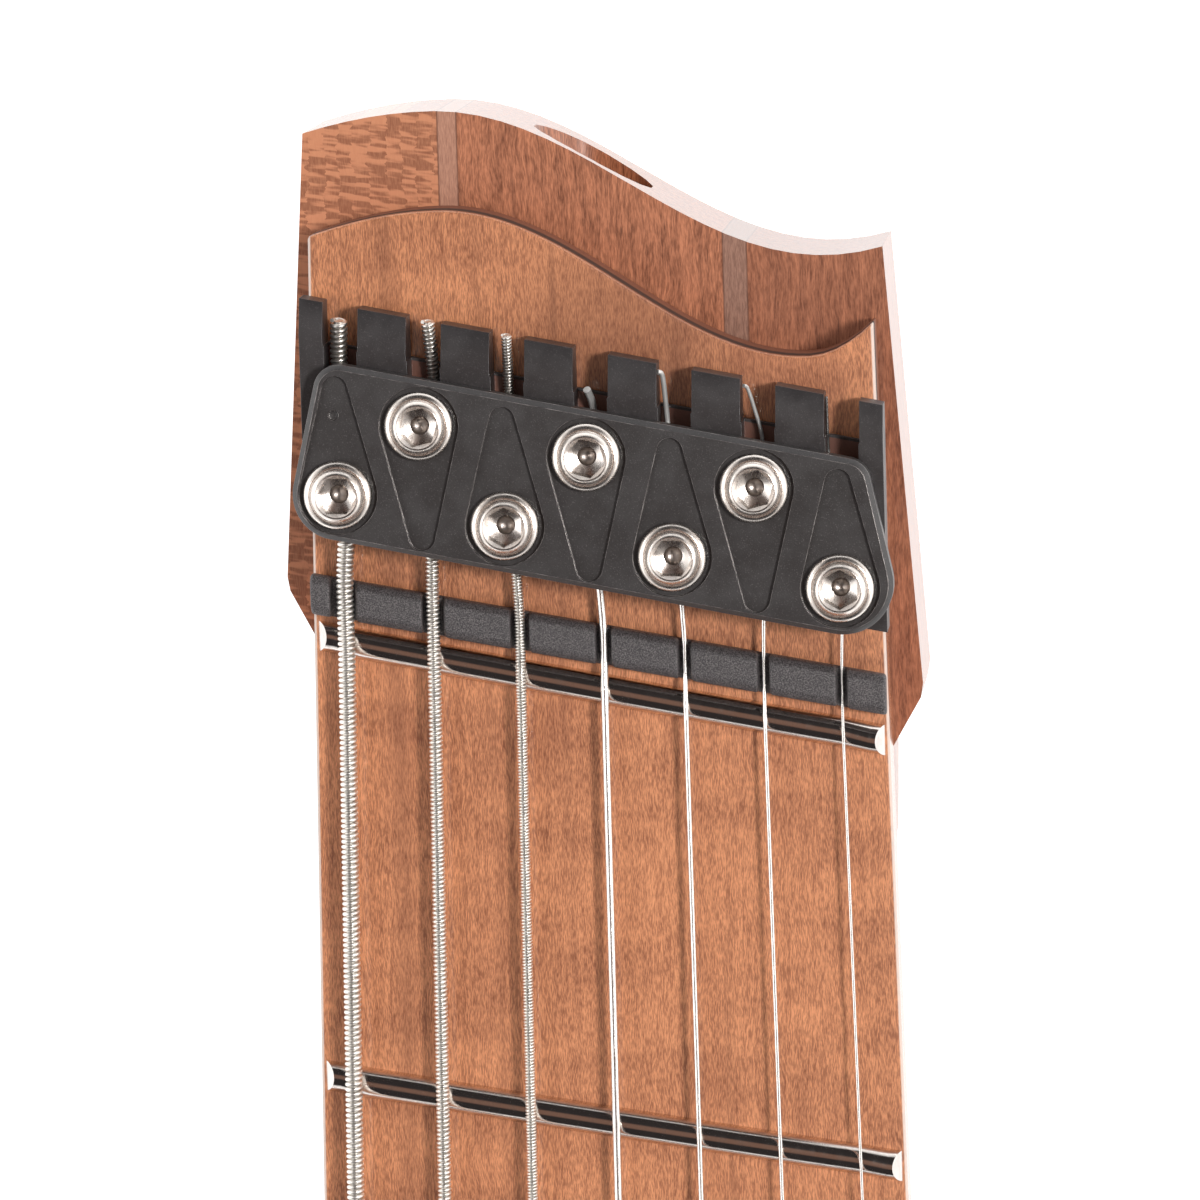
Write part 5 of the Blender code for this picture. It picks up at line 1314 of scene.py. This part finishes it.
def ribbed_wire():
    """The wound wire's finish with ribs in the bump and painted shade between them, for where the wrap
    isn't modelled.
    """
    f = Finish("ribbed_string_wire")
    ribs = f.maths("SINE", f.y * (math.tau / RIB_PITCH)) * 0.5 + 0.5
    smear = f.noise(f.stretched(900, 300, 900), detail=3)
    # dark in the grooves between the turns: painted shade
    base = f.mix(f.ramp(ribs, 0.0, 0.6), paint(96, 86, 74), paint(222, 214, 200))
    rough = f.ramp(smear, 0.3, 0.8) * 0.1 + 0.22
    bump = f.bump(ribs, 0.00012, 0.9)
    return f.close(Base_Color=base, Metallic=1.0, Roughness=rough, Normal=bump)


RIBBED = ribbed_wire()
wound, plain_tube, ribbed_tube = winding_tree(WOUND_WIRE), tube_tree(PLAIN_WIRE), tube_tree(RIBBED)
print("nodes in the winding tree", len(wound.tree.nodes))

# %% [markdown]
# ### A string in stretches
# A saddle slides under its string, and a puller draws the string's end. A stretch of wire could
# bend between two bodies only, so each string is cut where nothing moves against anything: a stretch
# to the saddle's crest, one from the crest down to a still point, and one from there to the puller.
# The bodies and the bend of each stretch are worked out, but the stretches are not set to bend.

# %% Strings
WOUND, PITCHES, PER_TURN, WRAP_SIDES = 3, (0.00044, 0.00037, 0.00027), 14, 8
# where the real winding ends, how far before the crest a string bends, and at which height
REAL_TO, BEND, BEND_LEVEL = NUT_Y - 0.056, 0.060, 0.05
BALL_RING = [(0.8, -1.6), (1.9, -1.6), (1.9, 1.6), (0.8, 1.6)]


def split_at(route, y):
    """The route cut where it passes y."""
    for index, (start, end) in enumerate(zip(route, route[1:])):
        if start.y >= y > end.y:
            cut = start.lerp(end, (start.y - y) / (start.y - end.y))
            return route[: index + 1] + [cut], [cut] + route[index + 1 :]
    return route, []


def length_of(route):
    return sum((b - a).length for a, b in zip(route, route[1:]))


def saddle_stops(index):
    """Where a string is cut, as y: at the crest, at a middle point of its dive, at the puller."""
    at_bridge = bridge_y(bridge_x(index))
    crest = at_bridge - COMPENSATION * GAUGES[index]
    return crest, at_bridge - DIVE_MIDDLE, at_bridge + PULLER_FRONT


def wrapped(near, index):
    """The real winding along a stretch of a heavy string."""
    pitch = PITCHES[index]
    wire = pitch * 0.44
    sizes = {"Core": GAUGES[index] / 2 - 2 * wire, "Wire": wire, "Sides": WRAP_SIDES}
    points = int(length_of(near) / pitch * PER_TURN)
    return wound.grow(wires([near]), Points=points, Per_turn=float(PER_TURN), **sizes)


def string_meshes(index):
    """Each stretch's mesh, finish, tag, two bodies, and where its bend starts and ends."""
    route, heavy = softened(string_route(index)), index < WOUND
    crest, middle, puller = saddle_stops(index)
    saddle_body, puller_body = "saddle_" + NUMBERS[index], "puller_" + NUMBERS[index]
    over, rest = split_at(route, crest)
    dive, end = split_at(rest, middle)
    tree, finish, sides = (ribbed_tube, RIBBED, 16) if heavy else (plain_tube, PLAIN_WIRE, 14)
    made, approach = [], ("guitar", saddle_body, crest + BEND, crest + CREST_HALF)
    if heavy:
        near, over = split_at(over, REAL_TO)
        made.append((wrapped(near, index), WOUND_WIRE, "_wrap", *approach))
    for line, tag, *bend in (
        (over, "", *approach),
        (dive, "_dive", saddle_body, "guitar", crest - CREST_HALF, middle),
        (end, "_end", "guitar", puller_body, middle, puller),
    ):
        mesh = tree.grow(wires([line]), Radius=GAUGES[index] / 2, Sides=sides)
        made.append((mesh, finish, tag, *bend))
    return made


for index, number in enumerate(NUMBERS):
    x, made = bridge_x(index), []
    for mesh, finish, tag, before, after, start, stop in string_meshes(index):
        mesh.materials.clear()
        mesh.materials.append(finish)
        mesh.shade_smooth()
        item = link("wire_" + number + tag, mesh)
        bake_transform(item)
        made.append(item)
    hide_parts("string_" + number)
    ball = turned(from_mm(BALL_RING), 20, string_route(index)[-1], (1, 0, 0))
    piece("wire_%s_ball" % number, ball, BRASS, "puller_" + number)
    print("string", number, [len(item.data.polygons) for item in made])

# %% [markdown]
# ## Small screws
# Covers, pickups and the bridge are held by screws of two kinds, with a cross or with a hexagon.
# Each kind is one mesh. A Geometry Nodes tree stands a copy on every point of a mesh, turned by the
# point's own angle, and makes the copies real.

# %% A tree for rows of screws
# (radius, height) as shares of the head's radius
CROSS_RINGS = [(0.35, -0.62), (0.45, -0.60), (0.97, -0.06), (1.0, 0.0), (0.96, 0.06)]
CROSS_RINGS += [(0.80, 0.13), (0.62, 0.17)]
BOLT_RINGS = [(0.40, -0.62), (0.50, -0.60), (0.97, -0.06), (1.0, 0.0), (0.97, 0.05)]
BOLT_RINGS += [(0.90, 0.08), (0.66, 0.08)]
BOLT_DRILL = [(0.30, -0.46), (0.03, -0.52)]


def sized(rings, radius):
    return [(radius * r, radius * z) for r, z in rings]


def cross_screw(radius):
    """A raised countersunk head with a cross recess."""
    rings, recess = sized(CROSS_RINGS, radius), cross(0.52 * radius)
    return socketed(rings, recess, CROSS_ANGLES, -0.30 * radius, taper=0.62)


def bolt_screw(radius):
    """A flat countersunk head with a hexagon socket."""
    rings, socket = sized(BOLT_RINGS, radius), hexagon(0.46 * radius)
    drilled = {"lead": 0.60 * radius, "drill": sized(BOLT_DRILL, radius)}
    return socketed(rings, socket, HEXAGON_ANGLES, -0.42 * radius, **drilled)


def row_tree(material):
    g = Growth("row of screws", (("Screw", "Object"), ("Face down", "Float")))
    settings, inputs = {"transform_space": "ORIGINAL"}, {"Object": g.value("Screw")}
    screw = g.node("GeometryNodeObjectInfo", settings, inputs, "Geometry")
    angles = g.point(g.value("Face down") * math.pi, 0.0, g.named("turn"))
    inputs = {0: g.value("Geometry"), "Instance": screw, "Rotation": angles}
    g.finish(g.node("GeometryNodeInstanceOnPoints", inputs=inputs), material)
    return g


def row_of(tree, screw, places, face_down=False):
    """One mesh with a screw at every place, each at an angle of its own."""
    turns = [[0.7 + 1.9 * number] for number in range(len(places))]
    model = link("model", screw)
    points = wires([[place] for place in places], turn=turns)
    mesh = tree.grow(points, Screw=model, Face_down=float(face_down))
    bpy.data.objects.remove(model)
    return mesh


steel_row, black_row = row_tree(POLISHED), row_tree(ANODISED)
print("faces of a cross screw", len(cross_screw(0.003).polygons))

# %% [markdown]
# ## Body
# The body is a brown back under a thin flamed top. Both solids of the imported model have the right
# outline, so copies are used, and a narrow bevel eases the edges that a maker would sand.

# %% Body
back, cap = eased(copy_of("body"), 0.0005, 2, 40), eased(copy_of("body_top"), 0.0004, 2, 40)
piece("body_back", back, BODY_WOOD, "guitar", "body", 30)
piece("body_cap", cap, FIGURED_TOP, "guitar", "body_top", 30)
print("back faces", len(back.polygons), "cap faces", len(cap.polygons))

# %% [markdown]
# ## Plates in the back
# The cover of the control cavity and the plate under the neck lie flush in the back. Their screws
# are countersunk, so cones are cut first and the heads stand in them just below the surface.

# %% Plates in the back
HEEL_MIDDLE_Y, BOLT_SPREAD = fan_line(share_of(FRETS))[0] - PAST_LAST_FRET + 0.033, 0.0185
COVER_SCREWS = [(62.2, -41.0), (104.0, -41.2), (122.6, -20.0)]
COVER_SCREWS += [(122.6, 18.0), (99.6, 76.0), (62.2, 79.0)]
COVER_HEAD, BOLT_HEAD = 0.0021, 0.0042
SUNK, PLATE_BACK = 0.0004, 0.0002


def cone(place, radius, depth, low):
    """A cutter that is widest below and runs up to nothing inside."""
    rings = [(radius * 1.10, low - 0.001), (radius * 1.10, low)]
    rings += [(radius * 1.04, low + SUNK), (0.35 * radius, low + depth)]
    x, y = place
    angles = [math.tau * step / 32 for step in range(32)]
    return loft([[(x + r * math.cos(a), y + r * math.sin(a), z) for a in angles] for r, z in rings])


def countersunk(mesh, places, radius, low):
    depth = 0.72 * radius + SUNK
    return cut_out(mesh, [merged([cone(place, radius, depth, low) for place in places])])


places = [(x / 1000, y / 1000) for x, y in COVER_SCREWS]
cover = eased(countersunk(copy_of("rear_cover"), places, COVER_HEAD, 0.0), 0.0002, 2, 50)
piece("control_cover", cover, PLASTIC, "guitar", "rear_cover", 30)
heads = row_of(black_row, cross_screw(COVER_HEAD), [(x, y, SUNK) for x, y in places], True)
piece("cover_screws", heads, ANODISED, "guitar")
print("screws in the cover", len(places))

sides = (-1, 1)
places = [(a * BOLT_SPREAD, HEEL_MIDDLE_Y + b * BOLT_SPREAD) for a in sides for b in sides]
plate = countersunk(copy_of("neck_plate"), places, BOLT_HEAD, PLATE_BACK)
plate = eased(plate, 0.0003, 2, 50)
piece("neck_joint_plate", plate, ANODISED, "guitar", "neck_plate", 30)
seats = [(x, y, SUNK + PLATE_BACK) for x, y in places]
bolts = row_of(steel_row, bolt_screw(BOLT_HEAD), seats, True)
piece("neck_bolt_heads", bolts, POLISHED, "guitar")
print("bolts under the neck", len(places))

# %% [markdown]
# ## Side dots
# A player looks at the board's bass edge, where small pale dots mark the frets. They are turned
# discs with a rounded rim, set in the edge and barely proud of it.

# %% Side dots
DOT_FRETS = (3, 5, 7, 9, 12, 12, 15, 17, 19, 21, 24, 24)
DOT_Z, DOT_APART = 0.0487, 0.0022
DOT_RINGS = [(0.0010, -0.0006), (0.0010, 0.00003), (0.0009, 0.00006), (0, 0.00007)]


def inlay():
    f = Finish("pale_inlay")
    mottle = f.ramp(f.noise(f.even(1800)), 0.3, 0.7)
    base = f.mix(mottle, paint(226, 220, 204), paint(240, 236, 224))
    return f.close(Base_Color=base, Roughness=mottle * 0.1 + 0.3)


def dot_places():
    """In the middle of each space; two dots in one space stand apart."""
    places = []
    for order, fret in enumerate(DOT_FRETS):
        aside = 0.0
        if DOT_FRETS.count(fret) == 2:
            aside = DOT_APART if DOT_FRETS.index(fret) == order else -DOT_APART
        middle = [fan_line(share_of(line)) for line in (fret - 1, fret)]
        y = sum(mid + slope * left_edge(mid) for mid, slope in middle) / 2 + aside
        places.append((left_edge(y), y, DOT_Z))
    return places


INLAY = inlay()
dot = turned(DOT_RINGS, 24)
dots = merged([aimed(dot, place, (-1, 0, 0)) for place in dot_places()])
piece("side_dots", dots, INLAY, "guitar")
print("side dots", len(DOT_FRETS))

# %% [markdown]
# ## Bridge
# Each string has a unit of its own in one black base: a saddle that slides under its string, and a
# puller that a knob behind the end wall draws back on a threaded rod. The base and the saddles are
# refined copies. Screws hold the base, and two small grub screws set the height of each saddle.

# %% Bridge base and saddles
BASE_DECK, BASE_TAB, BASE_HEAD = 0.0451, 0.0140, 0.0026
BASE_XS = (-0.0325, -0.01575, 0.0, 0.01575, 0.0325)
GRUB = [(0.00098, -0.0060), (0.00098, 0.0), (0.00092, 0.00010), (0.00080, 0.00012)]
GRUB_SOCKET = {"floor": -0.0009, "lead": 0.00070, "drill": [(0.00008, -0.00105)]}
GRUB_X, GRUB_Y, GRUB_LOW = 0.0026, -0.0034, 0.0013

base = eased(copy_of("bridge_base"), 0.00035)
piece("bridge_frame", base, ANODISED, "guitar", "bridge_base", 30)
seats = [(x, bridge_y(x) + BASE_TAB, BASE_DECK + 0.0002) for x in BASE_XS]
base_screws = row_of(steel_row, bolt_screw(BASE_HEAD), seats)
piece("bridge_screws", base_screws, POLISHED, "guitar")


def crest_of(index):
    """The height of a saddle's crest."""
    return board_z(bridge_x(index)) + FRET_HEIGHT + SADDLE_RISE + 0.0004


def grub_screws(index):
    """Two small set screws with hexagon sockets behind the crest."""
    mesh = socketed(GRUB, hexagon(0.00055), HEXAGON_ANGLES, **GRUB_SOCKET)
    x, top = bridge_x(index), crest_of(index) - GRUB_LOW
    places = [(x + side * GRUB_X, bridge_y(x) + GRUB_Y, top) for side in (-1, 1)]
    return merged([aimed(mesh, place, turn=0.4 + index) for place in places])


for index, number in enumerate(NUMBERS):
    node = "saddle_" + number
    block = eased(copy_of(node), 0.00028, 3)
    piece("saddle_block_" + number, block, ANODISED, node, node, 34)
    piece("saddle_grubs_" + number, grub_screws(index), POLISHED, node)
print("bridge screws", len(seats), "saddles", STRINGS)

# %% [markdown]
# ## Pullers and tuner knobs
# The rod of each puller has a real thread: rings whose radius follows height and angle together, so
# that the ridge climbs as it goes round. The knobs are turned, with straight knurls made by
# lowering every second point of the rings that carry a mark.

# %% Pullers and knobs
ROD_Z, KNOB_FRONT, KNOB_LENGTH = 0.0491, -0.0377, 0.0140
ROD_CREST, ROD_ROOT, ROD_PITCH = 0.00272, 0.00252, 0.0008
ROD_FROM, ROD_TO = KNOB_FRONT - 0.0074, PULLER_BACK + 0.0004
# (radius, height, mark for the knurl) in mm, from the knob's front face and from its back
KNOB_AHEAD = [(2.82, 0.0), (3.40, 0.0), (3.60, -0.2), (3.60, -1.1), (3.80, -1.3), (4.70, -2.2)]
KNOB_AHEAD += [(4.90, -2.5), (4.90, -2.7, 1)]
KNOB_BEHIND = [(4.90, 3.0, 1), (4.90, 2.8), (4.60, 2.6), (4.60, 2.2), (4.90, 2.0), (4.90, 0.8)]
KNOB_BEHIND += [(4.70, 0.3), (4.20, 0.0), (2.20, 0.0), (1.80, 0.3), (0, 0.5)]


def threaded(start, end, sides=18, rows_per_turn=6):
    """A rod along z with a spiral ridge."""
    rows, rings = int((end - start) / ROD_PITCH * rows_per_turn), []
    for row in range(rows + 1):
        z = start + (end - start) * row / rows
        ring = []
        for side in range(sides):
            climb = (z / ROD_PITCH - side / sides) % 1.0
            reach = ROD_ROOT + (ROD_CREST - ROD_ROOT) * min(1.0, 2.4 * min(climb, 1 - climb))
            angle = math.tau * side / sides
            ring.append((reach * math.cos(angle), reach * math.sin(angle), z))
        rings.append(ring)
    return loft(rings)


def tuner_knob():
    back = KNOB_FRONT - KNOB_LENGTH
    profile = [(0.00282, back + 0.0016), *from_mm(KNOB_AHEAD, KNOB_FRONT)]
    return turned(profile + from_mm(KNOB_BEHIND, back), 48, axis=(0, 1, 0), wave=0.00022)


knob, rod = tuner_knob(), aimed(threaded(ROD_FROM, ROD_TO), (0, 0, 0), (0, 1, 0))
for index, number in enumerate(NUMBERS):
    x, puller, turner = bridge_x(index), "puller_" + number, "tuner_knob_" + number
    place = (x, bridge_y(x), ROD_Z)
    block = eased(copy_of(puller), 0.00022, 2, 40)
    piece("puller_block_" + number, block, ANODISED, puller, puller, 30)
    piece("puller_rod_" + number, aimed(rod, place), SATIN_STEEL, puller, smooth=60)
    grip = aimed(knob, place)
    piece("tuner_grip_" + number, grip, ANODISED, turner, turner, 30)
print("faces of a rod", len(rod.polygons), "of a knob", len(knob.polygons))

# %% [markdown]
# ## Pickups
# Sealed housings with two steel blades each. The housing is a rounded slab with an eased rim; the
# blades are their own pieces, because they have another finish, and two screws hold each housing.

# %% Pickups
PICKUP_SIZE, PICKUP_CORNER, PICKUP_Z = (0.0889, 0.0381), 0.0030, (0.0263, 0.0508)
BLADE, BLADE_CORNER, BLADE_ASIDE = (0.0740, 0.0020), 0.0007, 0.0090
BLADE_DOWN, BLADE_UP = 0.0010, 0.0006
PICKUP_SCREW, PICKUP_SCREW_X = 0.0019, 0.0410
PICKUP_YS = {"neck_pickup": 0.1335, "bridge_pickup": 0.0420}


def rounded(length, width, corner, steps=6):
    """The outline of a rectangle with round corners."""
    outline = []
    for turn, (sx, sy) in enumerate(((1, 1), (-1, 1), (-1, -1), (1, -1))):
        middle = (sx * (length / 2 - corner), sy * (width / 2 - corner))
        outline += arc(middle, corner, 90 * turn, 90 * turn + 90, steps)
    return outline


def pickup_turn(y):
    """The fan's lean where a pickup stands."""
    low, high = 0.0, 1.2
    for _ in range(40):
        middle = (low + high) / 2
        low, high = (middle, high) if fan_line(middle)[0] > y else (low, middle)
    return math.atan(fan_line(low)[1])


def pickup_blades(top):
    """Two narrow steel blades, a little proud of the housing."""
    blades = []
    for side in (-1, 1):
        outline = [(x, y + side * BLADE_ASIDE) for x, y in rounded(*BLADE, BLADE_CORNER, 4)]
        blades.append(prism(outline, top - BLADE_DOWN, top + BLADE_UP))
    return eased(merged(blades), 0.00025, 2, 50)


for name, y in PICKUP_YS.items():
    top = PICKUP_Z[1]
    housing = eased(prism(rounded(*PICKUP_SIZE, PICKUP_CORNER), *PICKUP_Z), 0.0011, 4, 50)
    blades = pickup_blades(top)
    seats = [(side * PICKUP_SCREW_X, 0.0, top) for side in (-1, 1)]
    screws = row_of(steel_row, cross_screw(PICKUP_SCREW), seats)
    lean = Matrix.Translation((0, y, 0)) @ Matrix.Rotation(pickup_turn(y), 4, "Z")
    for mesh in (housing, blades, screws):
        mesh.transform(lean)
    piece(name + "_housing", housing, PLASTIC, "guitar", name, 30)
    piece(name + "_blades", blades, SATIN_STEEL, "guitar")
    piece(name + "_screws", screws, POLISHED, "guitar")
print("pickups lean", [round(math.degrees(pickup_turn(y)), 2) for y in PICKUP_YS.values()])

# %% [markdown]
# ## Controls
# Volume and tone have straight metal knobs with fine knurls, a dished crown and a pale line that
# shows their turn. The selector is a lever with a black tip, coming out of a knurled nut.

# %% Control knobs
CAP_TOP, GRIP_LOW, GRIP_HIGH = 0.0423, 0.0006, 0.0156
KNOB_PLACES = {"volume_knob": (0.088, 0.030), "tone_knob": (0.104, -0.010)}
GRIP_BORE = [(3.3, 12.8), (3.3, 3.3), (4.3, 3.3)]
GRIP_FOOT = [(4.3, 0), (8.8, 0), (9.4, 0.4), (9.5, 0.8), (9.5, 1.0, 1)]
GRIP_RIM = [(9.25, -2.6, 1), (9.25, -2.2), (8.9, -2.0), (8.9, -1.6), (9.1, -1.3), (8.8, -0.4)]
GRIP_DISH = [(8.0, 0), (7.0, -0.2), (3.5, -0.7), (0, -0.8)]
MARK, MARK_CORNER, MARK_Y, MARK_Z = (0.0006, 0.0044), 0.00029, 0.0060, (0.0145, 0.01554)


def control_grip():
    """A knob from the bore up, over the knurled side to the dished crown."""
    profile = from_mm(GRIP_BORE, CAP_TOP) + from_mm(GRIP_FOOT, CAP_TOP + GRIP_LOW)
    profile += from_mm(GRIP_RIM + GRIP_DISH, CAP_TOP + GRIP_HIGH)
    return turned(profile, 96, wave=0.0003)


grip = control_grip()
for name, (x, y) in KNOB_PLACES.items():
    body = name.replace("knob", "control")
    piece(name + "_grip", aimed(grip, (x, y, 0)), ANODISED, body, name, 30)
    mark = prism(rounded(*MARK, MARK_CORNER, 4), *[CAP_TOP + level for level in MARK_Z])
    mark = aimed(eased(mark, 0.0001, 2, 50), (x, y + MARK_Y, 0))
    piece(name + "_mark", mark, INLAY, body)
print("faces of a control knob", len(grip.polygons))

# %% Selector
SELECTOR, PIVOT, NUT_LOW, NUT_HIGH = (0.074, 0.066), 0.0425, 0.0002, 0.0033
NUT_FOOT = [(5.0, 0), (7.8, 0), (8.0, 0.2), (8.0, 0.3, 1)]
NUT_RIM = [(8.0, -0.7, 1), (7.9, -0.6), (7.4, 0), (6.0, 0), (5.6, -0.3), (5.0, -0.4)]
LEVER_BALL = [(0, -3.6), (1.0, -3.6), (1.2, -3.3), (1.2, -2.0), (1.9, -1.4), (2.5, -0.6)]
LEVER_BALL += [(2.6, 0), (2.5, 0.6), (1.9, 1.4), (1.3, 2.0)]
LEVER_SHAFT = [(1.2, 6.0), (1.2, 13.0), (0, 13.2)]
LEVER_TIP = [(1.1, 9.8), (1.7, 9.8), (2.0, 10.1), (2.2, 12.0), (2.6, 16.0), (2.6, 16.8)]
LEVER_TIP += [(2.4, 17.9), (1.8, 18.7), (0.9, 18.95), (0, 19.0)]

nut = from_mm(NUT_FOOT, CAP_TOP + NUT_LOW) + from_mm(NUT_RIM, CAP_TOP + NUT_HIGH)
nut = turned(nut, 64, (*SELECTOR, 0), wave=0.00025)
switch = eased(copy_of("selector_switch"), 0.0002, 2, 50)
piece("selector_case", switch, SATIN_STEEL, "guitar", "selector_switch", 30)
piece("selector_nut", nut, ANODISED, "guitar", smooth=30)
shaft = turned(from_mm(LEVER_BALL + LEVER_SHAFT), 32, (*SELECTOR, PIVOT))
piece("selector_shaft", shaft, POLISHED, "selector_lever", "selector_lever")
tip = turned(from_mm(LEVER_TIP), 32, (*SELECTOR, PIVOT))
piece("selector_tip", tip, PLASTIC, "selector_lever")
print("selector at", SELECTOR, "faces of its nut", len(nut.polygons))

# %% [markdown]
# ## Jack, strap buttons and truss nut
# The jack is a barrel with a flange and a thin hexagon nut round its bore. The strap buttons are
# waisted, and a cross-headed screw sits in the dish of each. The truss nut waits at the bottom of
# the bore in the head with a hexagon socket.

# %% Jack, strap buttons and truss nut
JACK, JACK_BORE, JACK_FLAT, JACK_NUT = (0.1450, -0.005, 0.021), 0.0034, 0.0058, (0.0020, 0.00285)
BUTTONS = {
    "strap_button_horn": ((-0.099, 0.330, 0.021), (0, 1, 0)),
    "strap_button_tail": ((-0.087, -0.0715, 0.021), (0, -1, 0)),
}
BUTTON_SEAT, BUTTON_SCREW = 0.0128, 0.0031


def jack_nut():
    """A thin hexagon nut; its section is closed, so the faces go all the way round the bore."""
    low, high = JACK_NUT
    reaches, section = hexagon(JACK_FLAT), []
    for angle in HEXAGON_ANGLES:
        reach = reaches(angle)
        shoulder = high - 0.0002 - 0.4 * (reach - JACK_FLAT)
        spots = [(JACK_BORE, low), (reach, low), (reach, shoulder), (JACK_FLAT - 0.0001, high)]
        spots += [(0.0040, high), (JACK_BORE, high - 0.0003)]
        section.append([(r * math.cos(angle), r * math.sin(angle), z) for r, z in spots])
    shape = bmesh.new()
    rows = [[shape.verts.new(spot) for spot in ring] for ring in section]
    for row, after in zip(rows, rows[1:] + rows[:1]):
        for step in range(len(row)):
            follow = (step + 1) % len(row)
            shape.faces.new((row[step], row[follow], after[follow], after[step]))
    return closed_mesh(shape)


def truss_nut(length):
    """A brass nut with a hexagon socket in the end that the bore shows."""
    rings = [(0.0034, 0.0), (0.0040, 0.0006), (0.0042, 0.0008), (0.0042, length - 0.0006)]
    rings += [(0.0038, length), (0.0032, length)]
    drill = [(0.0016, 0.0046), (0.0001, 0.0040)]
    return socketed(rings, hexagon(0.0022), HEXAGON_ANGLES, 0.0050, lead=0.0028, drill=drill)


barrel = eased(copy_of("output_jack"), 0.0002, 2, 50)
piece("jack_barrel", barrel, ANODISED, "guitar", "output_jack", 30)
nut = aimed(jack_nut(), JACK, (1, 0, 0))
piece("jack_nut", nut, POLISHED, "guitar", smooth=30)
for name, (place, axis) in BUTTONS.items():
    button = eased(copy_of(name), 0.0004, 3)
    piece(name + "_turned", button, ANODISED, "guitar", name, 40)
    seat = Vector(place) + Vector(axis) * BUTTON_SEAT
    screw = aimed(cross_screw(BUTTON_SCREW), seat, axis, 0.4)
    piece(name + "_screw", screw, POLISHED, "guitar")
low_y, high_y = [corner[1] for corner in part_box("truss_nut")]
nut = aimed(truss_nut(high_y - low_y), (0, low_y, 0.0390), (0, 1, 0))
piece("truss_nut_turned", nut, BRASS, "truss_nut", "truss_nut", 30)
print("truss nut from", round(low_y, 4), "to", round(high_y, 4))

# %% [markdown]
# ## Parts that stay as packed
# Pots, shafts and the truss rod are inside the guitar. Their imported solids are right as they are,
# so they only get a metal finish.

# %% Hidden metal
HIDDEN = dict.fromkeys(("truss_rod", "volume_pot", "tone_pot"), SATIN_STEEL)
HIDDEN.update(dict.fromkeys(("volume_shaft", "tone_shaft"), BRASS))
for node, material in HIDDEN.items():
    frame["nodes"][node].material_slots[0].material = material
print("hidden parts", len(HIDDEN))

# %% [markdown]
# ## Floor and light
# A pale floor, a pale world and two broad lamps. The photograph's background is pure white, and
# the polished edges of the head mirror it, so camera and mirror rays see the floor as white.


# %% Floor
def seen_directly(tree):
    """1 for camera and glass rays, and half of that for mirror rays."""
    rays = tree.node("ShaderNodeLightPath")
    seen = rays.output("Is Camera Ray") + rays.output("Is Glossy Ray") * 0.5
    return tree.maths("MINIMUM", seen + rays.output("Is Transmission Ray"), 1.0)


def pale_floor():
    f = Finish("pale_floor")
    shader = f.node("ShaderNodeBsdfDiffuse", inputs={"Color": (0.86, 0.86, 0.86, 1)})
    inputs = {"Color": (1, 1, 1, 1), "Strength": seen_directly(f) * 0.93}
    glow = f.node("ShaderNodeEmission", inputs=inputs)
    both = f.node("ShaderNodeAddShader", inputs={0: shader, 1: glow})
    f.node("ShaderNodeOutputMaterial", inputs={"Surface": both})
    return f.material


floor = link("floor", prism([(-4, -4), (4, -4), (4, 5), (-4, 5)], -0.02, -0.0004))
floor.data.materials.append(pale_floor())

# %% [markdown]
# Metal shows what stands round it. In the photograph the frets are dark with thin pale lines, while
# the strings and the screws flash white: the studio was dark above and to the front, with pale
# screens at both sides and a white floor. Only mirror rays see this; the soft daylight of the scene
# comes from a plain pale world.

# %% World
world = bpy.data.worlds.new("studio")
bpy.context.scene.world = world
world.use_nodes = True
w = Tree(world.node_tree)
world.node_tree.nodes.clear()
rays = w.node("ShaderNodeLightPath")


def background(colour, strength=1.0):
    return w.node("ShaderNodeBackground", inputs={"Color": colour, "Strength": strength})


def seen_by(ray, first, second):
    """The second shader for one kind of ray, the first for all others."""
    return w.node("ShaderNodeMixShader", inputs={0: rays.output(ray), 1: first, 2: second})


way = w.node("ShaderNodeSeparateXYZ", inputs={0: w.node("ShaderNodeTexCoord", output="Generated")})
sideways, upwards = w.maths("ABSOLUTE", way), way.output("Z")
overhead, screens, below = (0.20, 0.115, 0.085, 1), (0.80, 0.76, 0.74, 1), (1, 1, 1, 1)
studio = w.mix(w.ramp(upwards, 0.90, 0.985), (0.030, 0.026, 0.026, 1), overhead)
studio = w.mix(w.ramp(sideways, 0.46, 0.66), studio, screens)
studio = w.mix(w.ramp(upwards, 0.30, 0.12), studio, below)
strip = w.ramp(sideways, 0.80, 0.90) * w.ramp(upwards, -0.05, 0.10)
studio = w.mix(strip, studio, (2.2, 2.15, 2.1, 1))
shade = seen_by("Is Glossy Ray", background((0.97, 0.98, 1.0, 1), 0.50), background(studio))
shade = seen_by("Is Camera Ray", shade, background((1, 1, 1, 1)))
w.node("ShaderNodeOutputWorld", inputs={"Surface": shade})
print("the world has", len(world.node_tree.nodes), "nodes")


# %% Lamps
def sun(name, towards, strength, degrees, colour=(1, 1, 1)):
    lamp = bpy.data.lights.new(name, "SUN")
    lamp.energy, lamp.angle, lamp.color = strength, math.radians(degrees), colour
    item = bpy.data.objects.new(name, lamp)
    way = Vector(towards).normalized()
    item.matrix_world = looking(way, Vector((0, 1, 0)), Vector((0, 0, 2)))
    bpy.context.scene.collection.objects.link(item)


sun("key", (-0.50, -0.10, -0.86), 1.85, 9, (1.0, 0.985, 0.965))
sun("fill", (0.62, 0.05, -0.78), 0.35, 30, (0.98, 0.99, 1.0))
print("lamps", len(bpy.data.lights))
